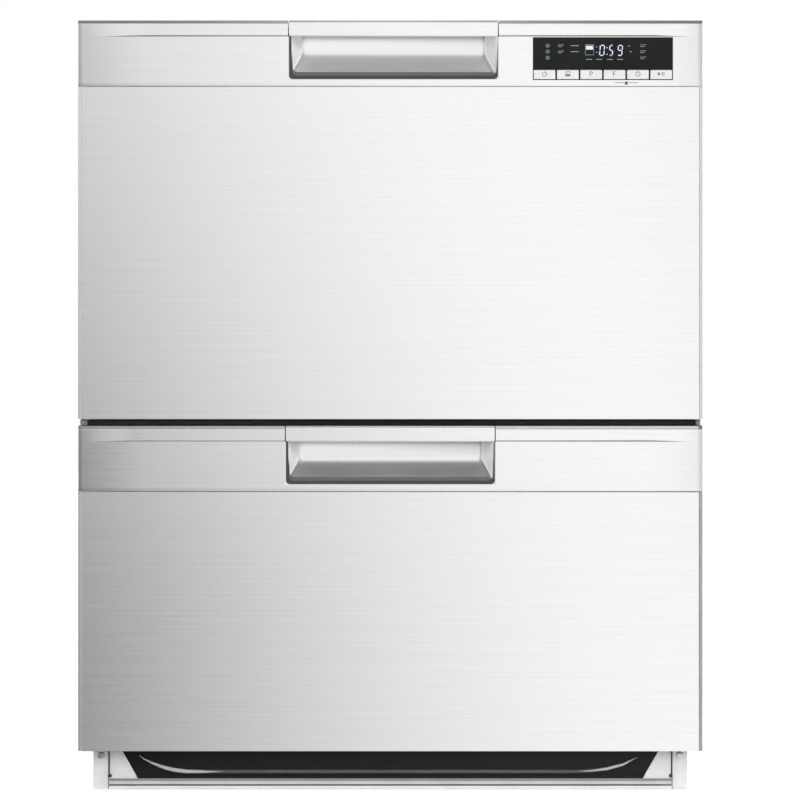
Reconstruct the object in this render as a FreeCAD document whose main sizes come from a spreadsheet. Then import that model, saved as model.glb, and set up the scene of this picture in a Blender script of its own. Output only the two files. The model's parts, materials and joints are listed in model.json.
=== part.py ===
"""Built-in double-drawer dishwasher for a 600 mm kitchen module.

Millimetres. X runs to the viewer's right, -Y is the front, +Z is up. The origin lies on the
floor, under the middle of the object's box. Each drawer holds its own tub, rack, spray arm and
wash motor, and runs on telescopic rails. Each tub is closed by a lid that stays in the cabinet.
"""
import FreeCAD, Part
import math
import os
import Sketcher

VECTOR = FreeCAD.Vector

SIZES = {
    # fronts, from the floor up
    "front_width": "598",
    "front_thickness": "40",
    "plinth_height": "38",
    "lower_panel_height": "249",
    "upper_panel_height": "319",
    "fascia_height": "63",
    "drawer_gap": "6",
    "panel_inset": "3",
    "skin": "1",
    "skin_depth": "19",
    "seam": "0.4",
    "fold_drop": "15.4",
    "fold_set_back": "1.2",
    "frame_lip": "10",
    "frame_plate": "3",
    # cabinet
    "front_overhang": "13.4",
    "total_depth": "570",
    "sheet": "1",
    "cabinet_top_gap": "1",
    "cabinet_front_gap": "4",
    "side_floor_gap": "1.4",
    "rear_recess": "22",
    "rear_flange": "10",
    "shelf_drop": "2.5",
    "shelf_lip": "6",
    "leg_width": "14.6",
    "leg_height": "100",
    "leg_screw_height": "33",
    "leg_screw_inset": "7.4",
    "fixing_hole_radius": "2.25",
    "fixing_side_inset": "35.6",
    "fixing_front_inset": "26",
    "fixing_rear_inset": "70",
    "rear_screw_count": "4",
    "rear_screw_low": "60",
    "rear_screw_top_inset": "26",
    "screw_radius": "1.9",
    "screw_head_radius": "3.6",
    "screw_head_height": "2",
    "screw_length": "7",
    "screw_hole_radius": "2.2",
    # base rail and pan
    "rail_sheet": "1.2",
    "rail_floor_gap": "0.4",
    "rail_hem_height": "4.8",
    "rail_hem_depth": "4",
    "rail_groove": "1.6",
    "rail_shelf_depth": "26",
    "gusset_width": "27.1",
    "gusset_height": "48",
    "pan_floor_height": "12",
    "pan_wall": "2",
    "pan_top": "36",
    "pan_set_back": "5",
    "ridge_height": "18",
    "ridge_bend": "96",
    "ridge_bend_span": "50",
    "ridge_end_gap": "3.5",
    "ridge_depth": "2",
    # feet
    "foot_radius": "20",
    "foot_height": "7",
    "stem_radius": "5",
    "stem_top": "70",
    "boss_radius": "13",
    "boss_top": "60",
    "foot_side_inset": "30.6",
    "foot_front_inset": "36",
    "foot_rear_inset": "37",
    # tubs
    "rail_space": "22.6",
    "rear_space": "29",
    "tub_wall": "3",
    "tub_corner": "35",
    "tub_floor_round": "14",
    "tub_spacer": "8",
    "spacer_inset": "14",
    "rim_drop": "40",
    "rim_flange": "6",
    "upper_under_space": "48",
    "lower_under_space": "42",
    "ledge_width": "8",
    "ledge_height": "6",
    "ledge_length": "300",
    # wash motor, spray arm and filter
    "motor_radius": "68",
    "motor_height": "42",
    "spigot_radius": "13",
    "spigot_height": "18",
    "shaft_radius": "6",
    "shaft_gap": "0.1",
    "running_gap": "0.3",
    "arm_wall_gap": "17",
    "arm_half_width": "19",
    "arm_thickness": "10",
    "hub_radius": "17",
    "hub_height": "16",
    "jet_radius": "1.6",
    "jet_pitch": "38",
    "jet_count": "5",
    "filter_gap": "9.7",
    "filter_radius": "44",
    "well_depth": "24",
    "filter_wall": "1.6",
    "filter_rim": "6",
    "filter_grip_height": "10",
    "filter_grip_thickness": "5",
    # racks
    "rack_gap": "3",
    "wire": "4",
    "rack_lift": "48",
    "upper_rack_clear": "63.9",
    "lower_rack_clear": "9.9",
    "cross_bar_count": "8",
    "long_bar_count": "10",
    "tine_height": "62",
    "tine_count": "9",
    "tine_pitch": "38",
    "tine_side_inset": "36",
    "tine_front_inset": "121",
    "tine_rear_inset": "167",
    # folding tines of the lower rack
    "fold_rod_radius": "2.5",
    "fold_rod_inset": "42",
    "fold_rear_inset": "187",
    "fold_rod_lift": "5",
    "fold_tine_count": "13",
    "fold_tine_pitch": "32",
    "clip_width": "6",
    "clip_height": "11",
    "clip_depth": "12",
    # cup shelf
    "cup_hinge_lift": "8",
    "cup_shelf_width": "108",
    "cup_shelf_length": "230",
    "cup_shelf_thickness": "3",
    "cup_rod_radius": "2",
    "cup_lug_depth": "13",
    "cup_bar": "8",
    "cup_slot_count": "8",
    # cutlery basket
    "basket_length": "216",
    "basket_width": "72",
    "basket_height": "96",
    "basket_wall": "2",
    "basket_cells": "3",
    "slot_count_per_cell": "4",
    "basket_bar": "4",
    "slot_foot": "6",
    "slot_head": "12",
    # dispensers
    "dispenser_width": "122",
    "dispenser_height": "56",
    "dispenser_depth": "15",
    "dispenser_rim_gap": "18",
    "cup_recess_width": "48",
    "cup_recess_margin": "7",
    "flap_thickness": "2.4",
    "flap_overlap": "5",
    "flap_barrel_radius": "2.4",
    "flap_pin_radius": "1.5",
    "lug_height": "4",
    "lug_margin": "1",
    "pin_cover": "1",
    "pin_end_gap": "0.5",
    "cap_radius": "14",
    "cap_height": "6",
    "cap_grip_height": "4.2",
    "cap_grip_inset": "2",
    "cap_grip_thickness": "5",
    "cap_shaft_radius": "5",
    "cap_shaft_length": "8",
    "cap_place": "36",
    # rails
    "rail_height": "45",
    "rail_gauge": "1.2",
    "slide_gap": "0.4",
    "outer_rail_rear_gap": "18",
    "middle_rail_rear_gap": "48",
    "inner_rail_rear_gap": "38",
    "rail_start": "5",
    "flange_reach": "12",
    "upper_rail_drop": "158",
    "lower_rail_drop": "130",
    # lids
    "lid_lift": "8",
    "seal_height": "3.7",
    "seal_width": "10",
    "lid_height": "10",
    "lid_side_gap": "4",
    "peg_radius": "4",
    "peg_front_inset": "57",
    "peg_rear_inset": "63",
    "guide_width": "16",
    "guide_depth": "14.6",
    "guide_wall": "3",
    "guide_back": "4.3",
    # handles
    "handle_half_width": "101",
    "upper_handle_shift": "3",
    "lower_handle_shift": "0",
    "handle_gap": "0.3",
    "handle_bottom": "6.4",
    "handle_wall": "1.4",
    "handle_depth": "23",
    "strip_thickness": "6",
    "scoop_draft": "10",
    "scoop_ramp": "19",
    "scoop_corner": "4",
    "finger_room": "7",
    # control panel
    "panel_side_inset": "28.5",
    "panel_width": "133.8",
    "panel_bottom": "6",
    "panel_height": "40.6",
    "glass_thickness": "2.5",
    "key_pitch": "22.36",
    "key_width": "20.8",
    "key_height": "8.8",
    "key_bottom": "6.6",
    "key_gap": "0.3",
    "key_travel": "1",
    "key_recess": "0.2",
    "key_depth": "4",
    "key_stem_radius": "2",
    "module_margin": "4",
    # water and mains connections
    "valve_side_inset": "69.6",
    "valve_level": "66",
    "valve_width": "40",
    "valve_height": "40",
    "valve_depth": "26",
    "inlet_radius": "13.2",
    "inlet_bore": "8",
    "coil_radius": "12",
    "coil_height": "26",
    "port_reach": "21.5",
    "port_gap": "0.3",
    "port_boss_rim": "2",
    "port_boss_stand": "1",
    "pump_side_inset": "97.6",
    "pump_level": "42",
    "pump_back": "47",
    "volute_radius": "27",
    "volute_width": "24",
    "pump_can_radius": "22",
    "pump_can_length": "38",
    "outlet_radius": "9.5",
    "outlet_bore": "7.5",
    "outlet_lift": "15",
    "impeller_radius": "20",
    "impeller_disc": "3",
    "impeller_vane": "9",
    "impeller_shaft_radius": "2",
    "impeller_shaft_reach": "8",
    "impeller_tip_gap": "2",
    "impeller_side_gap": "1",
    "vane_thickness": "1.6",
    "vane_inset": "1",
    "pump_wall": "2",
    "gland_side_inset": "164.6",
    "gland_level": "64",
    "gland_radius": "12",
    "cable_bore": "4.6",
    "gland_length": "16",
    "gland_collar": "2.4",
    "gland_collar_rim": "3",
}

KEY_NAMES = ("power_key", "half_load_key", "program_key", "function_key", "delay_key", "start_key")
START_POINT, END_POINT, CENTRE_POINT = 1, 2, 3
QUARTER_TURN = math.pi / 2
TOUCHING = 0.01


class Size:
    """A length that holds both its number and the sheet expression that gives it."""

    def __init__(self, text, value):
        self.text = text
        self.value = value

    def __add__(self, other):
        return Size(f"({self.text} + {text_of(other)})", self.value + value_of(other))

    def __sub__(self, other):
        return Size(f"({self.text} - {text_of(other)})", self.value - value_of(other))

    def __mul__(self, other):
        return Size(f"({self.text} * {text_of(other)})", self.value * value_of(other))

    def __truediv__(self, other):
        return Size(f"({self.text} / {text_of(other)})", self.value / value_of(other))

    def __neg__(self):
        return Size(f"(0 - {self.text})", -self.value)

    def __radd__(self, other):
        return self + other

    def __rsub__(self, other):
        return -self + other

    def __rmul__(self, other):
        return self * other


def text_of(length):
    """The expression of a length, or a plain number as text."""
    return length.text if isinstance(length, Size) else f"({length})"


def value_of(length):
    """The number of a length."""
    return length.value if isinstance(length, Size) else length


doc = FreeCAD.newDocument("dishwasher")
sheet = doc.addObject("Spreadsheet::Sheet", "sizes")
for row, (alias, number) in enumerate(SIZES.items(), start=1):
    sheet.set(f"A{row}", alias)
    sheet.set(f"B{row}", number)
    sheet.setAlias(f"B{row}", alias)
doc.recompute()


class Sheet:
    """The sheet's cells as lengths: s.front_width and so on."""

    def __getattr__(self, alias):
        return Size("sizes." + alias, float(getattr(sheet, alias)))


s = Sheet()


def bind(item, name, length):
    """Tie one property of an object to the sheet."""
    item.setExpression(name, text_of(length))


def bind_place(item, x, y, z):
    """Tie an object's place to the sheet."""
    bind(item, "Placement.Base.x", x)
    bind(item, "Placement.Base.y", y)
    bind(item, "Placement.Base.z", z)


def block(x, y, z):
    """A box between three pairs of coordinates."""
    item = doc.addObject("Part::Box", "block")
    for name, pair in (("Length", x), ("Width", y), ("Height", z)):
        bind(item, name, pair[1] - pair[0])
    bind_place(item, x[0], y[0], z[0])
    return item


TURNS = {
    "X": FreeCAD.Rotation(VECTOR(0, 1, 0), 90),
    "Y": FreeCAD.Rotation(VECTOR(1, 0, 0), -90),
    "Z": FreeCAD.Rotation(),
}


def rod(axis, start, end, across, radius):
    """A cylinder along X, Y or Z from start to end; across gives its other two coordinates."""
    item = doc.addObject("Part::Cylinder", "rod")
    item.Placement = FreeCAD.Placement(VECTOR(), TURNS[axis])
    bind(item, "Radius", radius)
    bind(item, "Height", end - start)
    place = {
        "X": (start, across[0], across[1]),
        "Y": (across[0], start, across[1]),
        "Z": (across[0], across[1], start),
    }[axis]
    bind_place(item, *place)
    return item


def join(items, label="joined"):
    """One solid out of pieces that run into each other."""
    item = doc.addObject("Part::MultiFuse", "joined")
    item.Shapes = items
    item.Refine = True
    item.Label = label
    return item


def carve(base, tools, label="carved"):
    """The base with every tool taken out of it."""
    item = doc.addObject("Part::Cut", "carved")
    item.Base = base
    item.Tool = tools[0] if len(tools) == 1 else join(tools)
    item.Refine = True
    item.Label = label
    return item


def group(items, label):
    """Separate solids that share a node."""
    item = doc.addObject("Part::Compound", "grouped")
    item.Links = items
    item.Label = label
    return item


def mirrored(source):
    """The same piece on the other side of the middle."""
    item = doc.addObject("Part::Mirroring", "mirrored")
    item.Source = source
    item.Base = VECTOR()
    item.Normal = VECTOR(1, 0, 0)
    return item


def new_body(label):
    """An empty body that sketches and features go into."""
    item = doc.addObject("PartDesign::Body", "body")
    item.Label = label
    return item


def new_sketch(body, axis, level):
    """A sketch square to an axis, at a level along it."""
    role = {"X": "YZ_Plane", "Y": "XZ_Plane", "Z": "XY_Plane"}[axis]
    sketch = body.newObject("Sketcher::SketchObject", "outline")
    plane = [part for part in body.Origin.OriginFeatures if part.Role == role][0]
    sketch.AttachmentSupport = [(plane, "")]
    sketch.MapMode = "FlatFace"
    bind(sketch, "AttachmentOffset.Base.z", -level if axis == "Y" else level)
    return sketch


def pin_point(sketch, element, corner, point):
    """Hold one point of an element at two bound distances from the origin."""
    for kind, length in zip(("DistanceX", "DistanceY"), point):
        pinned = Sketcher.Constraint(kind, -1, 1, element, corner, float(value_of(length)))
        index = sketch.addConstraint(pinned)
        sketch.setExpression(f"Constraints[{index}]", text_of(length))


def polygon(*points):
    """An outline of straight edges through the given points."""
    def draw(sketch):
        flat = [VECTOR(value_of(a), value_of(b), 0) for a, b in points]
        first = sketch.GeometryCount
        for index, corner in enumerate(flat):
            following = flat[(index + 1) % len(flat)]
            sketch.addGeometry(Part.LineSegment(corner, following), False)
        for index in range(len(flat)):
            after = first + (index + 1) % len(flat)
            sketch.addConstraint(Sketcher.Constraint("Coincident", first + index, END_POINT,
                                                    after, START_POINT))
        for index, point in enumerate(points):
            pin_point(sketch, first + index, START_POINT, point)
    return draw


def rectangle(a, b):
    """A rectangle between two pairs of coordinates."""
    return polygon((a[0], b[0]), (a[1], b[0]), (a[1], b[1]), (a[0], b[1]))


def circle(centre, radius):
    """A circle round a centre."""
    def draw(sketch):
        middle = VECTOR(value_of(centre[0]), value_of(centre[1]), 0)
        ring = Part.Circle(middle, VECTOR(0, 0, 1), value_of(radius))
        element = sketch.addGeometry(ring, False)
        pin_point(sketch, element, CENTRE_POINT, centre)
        index = sketch.addConstraint(Sketcher.Constraint("Radius", element, value_of(radius)))
        sketch.setExpression(f"Constraints[{index}]", text_of(radius))
    return draw


def rounded(a, b, radius):
    """A rectangle whose four corners are arcs."""
    def draw(sketch):
        r = value_of(radius)
        low_a, high_a = value_of(a[0]), value_of(a[1])
        low_b, high_b = value_of(b[0]), value_of(b[1])
        first = sketch.GeometryCount
        lines = (
            ((low_a + r, low_b), (high_a - r, low_b)),
            ((high_a, low_b + r), (high_a, high_b - r)),
            ((high_a - r, high_b), (low_a + r, high_b)),
            ((low_a, high_b - r), (low_a, low_b + r)),
        )
        for start, end in lines:
            sketch.addGeometry(Part.LineSegment(VECTOR(*start, 0), VECTOR(*end, 0)), False)
        centres = (
            (high_a - r, low_b + r),
            (high_a - r, high_b - r),
            (low_a + r, high_b - r),
            (low_a + r, low_b + r),
        )
        for index, centre in enumerate(centres):
            full = Part.Circle(VECTOR(*centre, 0), VECTOR(0, 0, 1), r)
            angle = QUARTER_TURN * (index - 1)
            sketch.addGeometry(Part.ArcOfCircle(full, angle, angle + QUARTER_TURN), False)
        for index in range(4):
            line, arc, after = first + index, first + 4 + index, first + (index + 1) % 4
            for one, other in ((line, arc), (arc, after)):
                smooth = Sketcher.Constraint("Tangent", one, END_POINT, other, START_POINT)
                sketch.addConstraint(smooth)
        for index in range(3):
            pair = (first + 4 + index, first + 5 + index)
            sketch.addConstraint(Sketcher.Constraint("Equal", *pair))
        index = sketch.addConstraint(Sketcher.Constraint("Radius", first + 4, r))
        sketch.setExpression(f"Constraints[{index}]", text_of(radius))
        level = (b[0], a[1], b[1], a[0])
        for index in range(4):
            kind = "DistanceY" if index % 2 == 0 else "DistanceX"
            at = float(value_of(level[index]))
            held = Sketcher.Constraint(kind, -1, 1, first + index, 1, at)
            number = sketch.addConstraint(held)
            sketch.setExpression(f"Constraints[{number}]", text_of(level[index]))
            straight = "Horizontal" if index % 2 == 0 else "Vertical"
            sketch.addConstraint(Sketcher.Constraint(straight, first + index))
    return draw


def pad(body, axis, low, high, *outlines):
    """Add the outlines' area between two levels of an axis."""
    sketch = new_sketch(body, axis, high if axis == "Y" else low)
    for draw in outlines:
        draw(sketch)
    feature = body.newObject("PartDesign::Pad", "pad")
    feature.Profile = sketch
    bind(feature, "Length", high - low)
    return feature


def pocket(body, axis, low, high, *outlines):
    """Take the outlines' area away between two levels of an axis."""
    sketch = new_sketch(body, axis, low if axis == "Y" else high)
    for draw in outlines:
        draw(sketch)
    feature = body.newObject("PartDesign::Pocket", "pocket")
    feature.Profile = sketch
    bind(feature, "Length", high - low)
    return feature


def repeat_along(body, feature, axis, span, count):
    """Copies of a feature in a row along an axis of the body."""
    role = axis + "_Axis"
    line = [part for part in body.Origin.OriginFeatures if part.Role == role][0]
    row_of = body.newObject("PartDesign::LinearPattern", "row")
    row_of.Originals = [feature]
    row_of.Direction = (line, [""])
    bind(row_of, "Length", span)
    bind(row_of, "Occurrences", count)
    body.Tip = row_of
    return row_of


# Levels and edges that several pieces share.
half_front = s.front_width / 2
front_face = -(s.total_depth / 2)
back_edge = s.total_depth / 2
frame_front = front_face + s.skin_depth
frame_back = front_face + s.front_thickness
cabinet_front = frame_back + s.cabinet_front_gap
lower_bottom = s.plinth_height
lower_split = lower_bottom + s.lower_panel_height
lower_top = lower_split + s.fascia_height
upper_bottom = lower_top + s.drawer_gap
upper_split = upper_bottom + s.upper_panel_height
upper_top = upper_split + s.fascia_height
half_cabinet = half_front - s.front_overhang
inner_side = half_cabinet - s.sheet
cabinet_top = upper_top - s.cabinet_top_gap
rear_face = back_edge - s.rear_recess
rear_inside = rear_face - s.sheet
shelf_top = lower_top + s.shelf_drop + s.sheet
half_tub = inner_side - s.rail_space
tub_front = frame_back + s.tub_spacer
tub_back = rear_inside - s.rear_space
tub_middle = (tub_front + tub_back) / 2
inner_tub = half_tub - s.tub_wall
arm_radius = (tub_back - tub_front) / 2 - s.tub_wall - s.arm_wall_gap
filter_middle = (tub_middle + s.motor_radius + s.filter_gap + s.tub_wall + s.running_gap
                 + s.filter_radius)
rail_half = half_cabinet - s.leg_width - s.seam
window_half = rail_half - s.gusset_width
valve_place = -inner_side + s.valve_side_inset
gland_place = -inner_side + s.gland_side_inset
pump_place = inner_side - s.pump_side_inset
panel_centre = half_front - s.panel_side_inset - s.panel_width / 2


class Drawer:
    """The levels of one drawer, from its fronts down to its motor."""

    def __init__(self, name, bottom, split, top, under_space, rail_drop, rack_clear, shift):
        self.name = name
        self.bottom = bottom
        self.split = split
        self.top = top
        self.rim = top - s.rim_drop
        self.tub_bottom = bottom + under_space
        self.tub_floor = self.tub_bottom + s.tub_wall
        self.rail_level = self.rim - rail_drop
        self.rack_base = self.tub_floor + s.rack_lift
        self.shift = shift
        self.spigot_top = self.tub_floor + s.spigot_height
        self.hub_base = self.spigot_top + s.running_gap
        self.seal_base = self.rim + s.lid_lift + s.running_gap
        self.lid_base = self.seal_base + s.seal_height
        self.lid_top = self.lid_base + s.lid_height
        self.dispenser_top = self.rim - s.dispenser_rim_gap
        self.dispenser_base = self.dispenser_top - s.dispenser_height
        self.rack_top = self.dispenser_base - rack_clear

    def label(self, piece):
        return f"{self.name}_{piece}"


upper = Drawer("upper", upper_bottom, upper_split, upper_top, s.upper_under_space,
               s.upper_rail_drop, s.upper_rack_clear, s.upper_handle_shift)
lower = Drawer("lower", lower_bottom, lower_split, lower_top, s.lower_under_space,
               s.lower_rail_drop, s.lower_rack_clear, s.lower_handle_shift)


def rear_screw_places():
    """The screws that hold the rear panel, as x and z pairs."""
    side = inner_side - s.rear_flange / 2
    low = s.rear_screw_low
    span = cabinet_top - s.rear_screw_top_inset - low
    count = int(value_of(s.rear_screw_count))
    levels = [low + span * step / (s.rear_screw_count - 1) for step in range(count)]
    return [(sign * side, level) for sign in (-1, 1) for level in levels]


def leg_screw_places():
    """The screw at the top of each front leg."""
    return [(sign * (half_cabinet - s.leg_screw_inset), s.leg_screw_height) for sign in (-1, 1)]


def cabinet_wrapper():
    """Folded steel sheet: two sides, the top, the front legs and the rear flanges."""
    top_sheet = (cabinet_top - s.sheet, cabinet_top)
    depth = (cabinet_front, back_edge)
    top = block((-half_cabinet, half_cabinet), depth, top_sheet)
    side = block((inner_side, half_cabinet), depth, (s.side_floor_gap, cabinet_top))
    leg = block((half_cabinet - s.leg_width, half_cabinet), (cabinet_front, cabinet_front + s.sheet),
                (s.side_floor_gap, s.leg_height))
    flange = block((inner_side - s.rear_flange, half_cabinet), (rear_inside - s.sheet, rear_inside),
                   (s.side_floor_gap, cabinet_top))
    sides = [side, leg, flange]
    shell = join([top] + sides + [mirrored(item) for item in sides])
    holes = []
    for x, z in rear_screw_places():
        holes.append(rod("Y", rear_inside - s.screw_length, rear_face, (x, z), s.screw_hole_radius))
    for x, z in leg_screw_places():
        end = cabinet_front + s.screw_length
        holes.append(rod("Y", front_face, end, (x, z), s.screw_hole_radius))
    for sign in (-1, 1):
        for y in (cabinet_front + s.fixing_front_inset, back_edge - s.fixing_rear_inset):
            place = (sign * (half_cabinet - s.fixing_side_inset), y)
            holes.append(rod("Z", cabinet_top - s.sheet * 2, upper_top, place, s.fixing_hole_radius))
    return carve(shell, holes, "cabinet_wrapper")


def rear_panel():
    """Flat panel set forward of the back edge, pierced for the three connections."""
    body = new_body("rear_panel")
    outlines = [rectangle((-inner_side, inner_side), (s.pan_floor_height, cabinet_top - s.sheet))]
    outlines.append(circle((valve_place, s.valve_level),
                           s.inlet_radius + s.port_boss_rim + s.port_gap))
    outlet = (pump_place, s.pump_level + s.outlet_lift)
    outlines.append(circle(outlet, s.outlet_radius + s.port_boss_rim + s.port_gap))
    outlines.append(circle((gland_place, s.gland_level), s.gland_radius + s.port_gap))
    for place in rear_screw_places():
        outlines.append(circle(place, s.screw_hole_radius))
    pad(body, "Y", rear_inside, rear_face, *outlines)
    return body


def cabinet_screws():
    """Pan-head screws of the rear panel and of the two legs."""
    screws = []
    for x, z in rear_screw_places():
        head = rod("Y", rear_face, rear_face + s.screw_head_height, (x, z), s.screw_head_radius)
        shank = rod("Y", rear_face - s.screw_length, rear_face, (x, z), s.screw_radius)
        screws.append(join([head, shank]))
    for x, z in leg_screw_places():
        head_front = cabinet_front - s.screw_head_height
        head = rod("Y", head_front, cabinet_front, (x, z), s.screw_head_radius)
        end = cabinet_front + s.screw_length / 2
        shank = rod("Y", cabinet_front, end, (x, z), s.screw_radius)
        screws.append(join([head, shank]))
    return group(screws, "cabinet_screws")


def mid_shelf():
    """Black sheet between the drawers, with a lip that closes the gap in front."""
    width = (-inner_side, inner_side)
    plate = block(width, (cabinet_front, rear_inside - s.sheet), (shelf_top - s.sheet, shelf_top))
    middle = shelf_top - s.sheet / 2
    lip = block(width, (cabinet_front, cabinet_front + s.sheet),
                (middle - s.shelf_lip, middle + s.shelf_lip))
    return join([plate, lip], "mid_shelf")


def foot_places():
    """Where the four feet stand, with the name of each."""
    side = half_cabinet - s.foot_side_inset
    front = cabinet_front + s.foot_front_inset
    rear = rear_inside - s.foot_rear_inset
    return {
        "front_left_foot": (-side, front),
        "front_right_foot": (side, front),
        "rear_left_foot": (-side, rear),
        "rear_right_foot": (side, rear),
    }


def base_pan():
    """Black tray under the lower drawer: floor, low walls, foot bosses and a curved front ridge."""
    front = cabinet_front + s.pan_set_back
    back = rear_inside
    floor_level = s.pan_floor_height
    body = new_body("base_pan")
    width = (-inner_side, inner_side)
    depth = (front, back)
    pad(body, "Z", floor_level, floor_level + s.pan_wall, rectangle(width, depth))
    inside = rectangle((-inner_side + s.pan_wall, inner_side - s.pan_wall),
                       (front + s.pan_wall, back - s.pan_wall))
    flange_front = rear_inside - s.sheet
    pad(body, "Z", floor_level, s.pan_top, rectangle(width, depth), inside)
    for x, y in foot_places().values():
        pad(body, "Z", floor_level, s.boss_top, circle((x, y), s.boss_radius))
        pocket(body, "Z", floor_level, s.boss_top, circle((x, y), s.stem_radius + s.shaft_gap))
    notch_inside = inner_side - s.rear_flange
    for low, high in ((notch_inside, inner_side), (-inner_side, -notch_inside)):
        pocket(body, "Z", floor_level, s.pan_top, rectangle((low, high), (flange_front, back)))
    ridge_band = (s.ridge_height, s.pan_top)
    ridge_depth = (front - s.ridge_depth, front + s.pan_wall)
    ridge_half = window_half - s.ridge_end_gap
    straight_half = ridge_half - s.ridge_bend_span
    straight = block((-straight_half, straight_half), ridge_depth, ridge_band)
    bends = [rod("Y", *ridge_depth, (sign * straight_half, s.ridge_height + s.ridge_bend),
                 s.ridge_bend) for sign in (-1, 1)]
    limits = block((-ridge_half, ridge_half), ridge_depth, ridge_band)
    ridge = doc.addObject("Part::Common", "ridge")
    ridge.Base = limits
    ridge.Tool = join([straight] + bends)
    body.Label = "base_pan_tray"
    return join([body, ridge], "base_pan")


def front_base_rail():
    """Pale folded rail between the legs: two gussets, a flat band and a hem below a groove."""
    half = rail_half
    front = cabinet_front
    back = front + s.rail_sheet
    hem_top = s.rail_floor_gap + s.rail_hem_height
    band_base = hem_top + s.rail_groove
    body = new_body("front_base_rail")
    band = rectangle((-half, half), (s.rail_floor_gap, s.pan_floor_height))
    pad(body, "Y", front, back, band)
    for sign in (-1, 1):
        corner = (sign * half, s.pan_floor_height)
        tip = (sign * half, s.pan_floor_height + s.gusset_height)
        root = (sign * window_half, s.pan_floor_height)
        pad(body, "Y", front, back, polygon(root, corner, tip))
    shelf = rectangle((-half, half), (back, back + s.rail_shelf_depth))
    pad(body, "Z", s.pan_floor_height - s.rail_sheet, s.pan_floor_height, shelf)
    hem = rectangle((-half, half), (s.rail_floor_gap, hem_top))
    pad(body, "Y", front - s.rail_hem_depth, front, hem)
    upper_band = rectangle((-half, half), (band_base, s.pan_floor_height))
    pad(body, "Y", front - s.rail_hem_depth / 2, front, upper_band)
    return body


def levelling_foot(name, place):
    """Round pad on a threaded stem that runs in its boss of the base pan."""
    foot_pad = rod("Z", 0, s.foot_height, place, s.foot_radius)
    stem = rod("Z", s.foot_height, s.stem_top, place, s.stem_radius)
    return join([foot_pad, stem], name)


def inlet_valve():
    """Valve block with its coil, and the threaded spigot that leaves through the rear panel."""
    half = s.valve_width / 2
    across = (valve_place, s.valve_level)
    depth = (rear_inside - s.valve_depth, rear_inside)
    level = (s.valve_level - s.valve_height / 2, s.valve_level + s.valve_height / 2)
    box = block((valve_place - half, valve_place + half), depth, level)
    centre = (valve_place, rear_inside - s.valve_depth / 2)
    coil = rod("Z", level[1] - s.sheet, level[1] + s.coil_height, centre, s.coil_radius)
    shoulder = rear_face + s.port_boss_stand
    boss = rod("Y", rear_inside, shoulder, across, s.inlet_radius + s.port_boss_rim)
    spigot = rod("Y", shoulder, rear_face + s.port_reach, across, s.inlet_radius)
    bore = rod("Y", rear_inside - s.valve_depth / 2, back_edge, across, s.inlet_bore)
    return carve(join([box, coil, boss, spigot]), [bore], "inlet_valve")


def pump_levels():
    """The drain pump's axis, and the two ends of its volute."""
    axis = (rear_inside - s.pump_back, s.pump_level)
    left = pump_place - s.volute_width / 2
    return axis, left, left + s.volute_width


def drain_pump():
    """Volute with its motor can, outlet through the rear panel and a foot on the pan's floor."""
    axis, left, right = pump_levels()
    volute = rod("X", left, right, axis, s.volute_radius)
    can = rod("X", right, right + s.pump_can_length, axis, s.pump_can_radius)
    outlet_at = (pump_place, s.pump_level + s.outlet_lift)
    shoulder = rear_face + s.port_boss_stand
    boss = rod("Y", axis[0], shoulder, outlet_at, s.outlet_radius + s.port_boss_rim)
    outlet = rod("Y", shoulder, rear_face + s.port_reach, outlet_at, s.outlet_radius)
    floor_level = s.pan_floor_height + s.pan_wall
    foot = block((left, right), (axis[0] - s.outlet_radius, axis[0] + s.outlet_radius),
                 (floor_level, s.pump_level))
    chamber = rod("X", left + s.pump_wall, right - s.pump_wall, axis,
                  s.impeller_radius + s.impeller_tip_gap)
    bore = rod("Y", axis[0], back_edge, outlet_at, s.outlet_bore)
    bearing = rod("X", right - s.pump_wall, right + s.impeller_shaft_reach + s.impeller_side_gap,
                  axis, s.impeller_shaft_radius + s.shaft_gap)
    eye = rod("X", left - s.pump_wall, left + s.pump_wall, axis, s.outlet_bore)
    casing = join([volute, can, boss, outlet, foot])
    return carve(casing, [chamber, bore, bearing, eye], "drain_pump")


def pump_impeller():
    """Disc with four straight vanes on a short shaft."""
    axis, left, right = pump_levels()
    disc_right = right - s.pump_wall - s.impeller_side_gap
    disc = rod("X", disc_right - s.impeller_disc, disc_right, axis, s.impeller_radius)
    vane_start = disc_right - s.impeller_disc - s.impeller_vane
    reach = s.impeller_radius - s.vane_inset
    half = s.vane_thickness / 2
    middle_y, middle_z = axis
    upright = block((vane_start, disc_right), (middle_y - half, middle_y + half),
                    (middle_z - reach, middle_z + reach))
    level = block((vane_start, disc_right), (middle_y - reach, middle_y + reach),
                  (middle_z - half, middle_z + half))
    shaft_end = right + s.impeller_shaft_reach
    shaft = rod("X", vane_start, shaft_end, axis, s.impeller_shaft_radius)
    return join([disc, upright, level, shaft], "pump_impeller")


def mains_gland():
    """Cable gland in the rear panel, through which the mains lead would enter."""
    across = (gland_place, s.gland_level)
    start = rear_inside - s.gland_length / 2
    end = rear_face + s.gland_length
    barrel = rod("Y", start, end, across, s.gland_radius)
    collar = rod("Y", start - s.gland_collar, rear_inside, across,
                 s.gland_radius + s.gland_collar_rim)
    bore = rod("Y", start - s.gland_length, back_edge, across, s.cable_bore)
    return carve(join([barrel, collar]), [bore], "mains_gland")


def channel(outer, inner, level, half_height, depth, web_outside):
    """A C-section rail on the right: web on one side and two flanges towards the other."""
    web = (outer - s.rail_gauge, outer) if web_outside else (inner, inner + s.rail_gauge)
    pieces = [block(web, depth, (level - half_height, level + half_height))]
    for low in (level - half_height, level + half_height - s.rail_gauge):
        pieces.append(block((inner, outer), depth, (low, low + s.rail_gauge)))
    return join(pieces)


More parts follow.
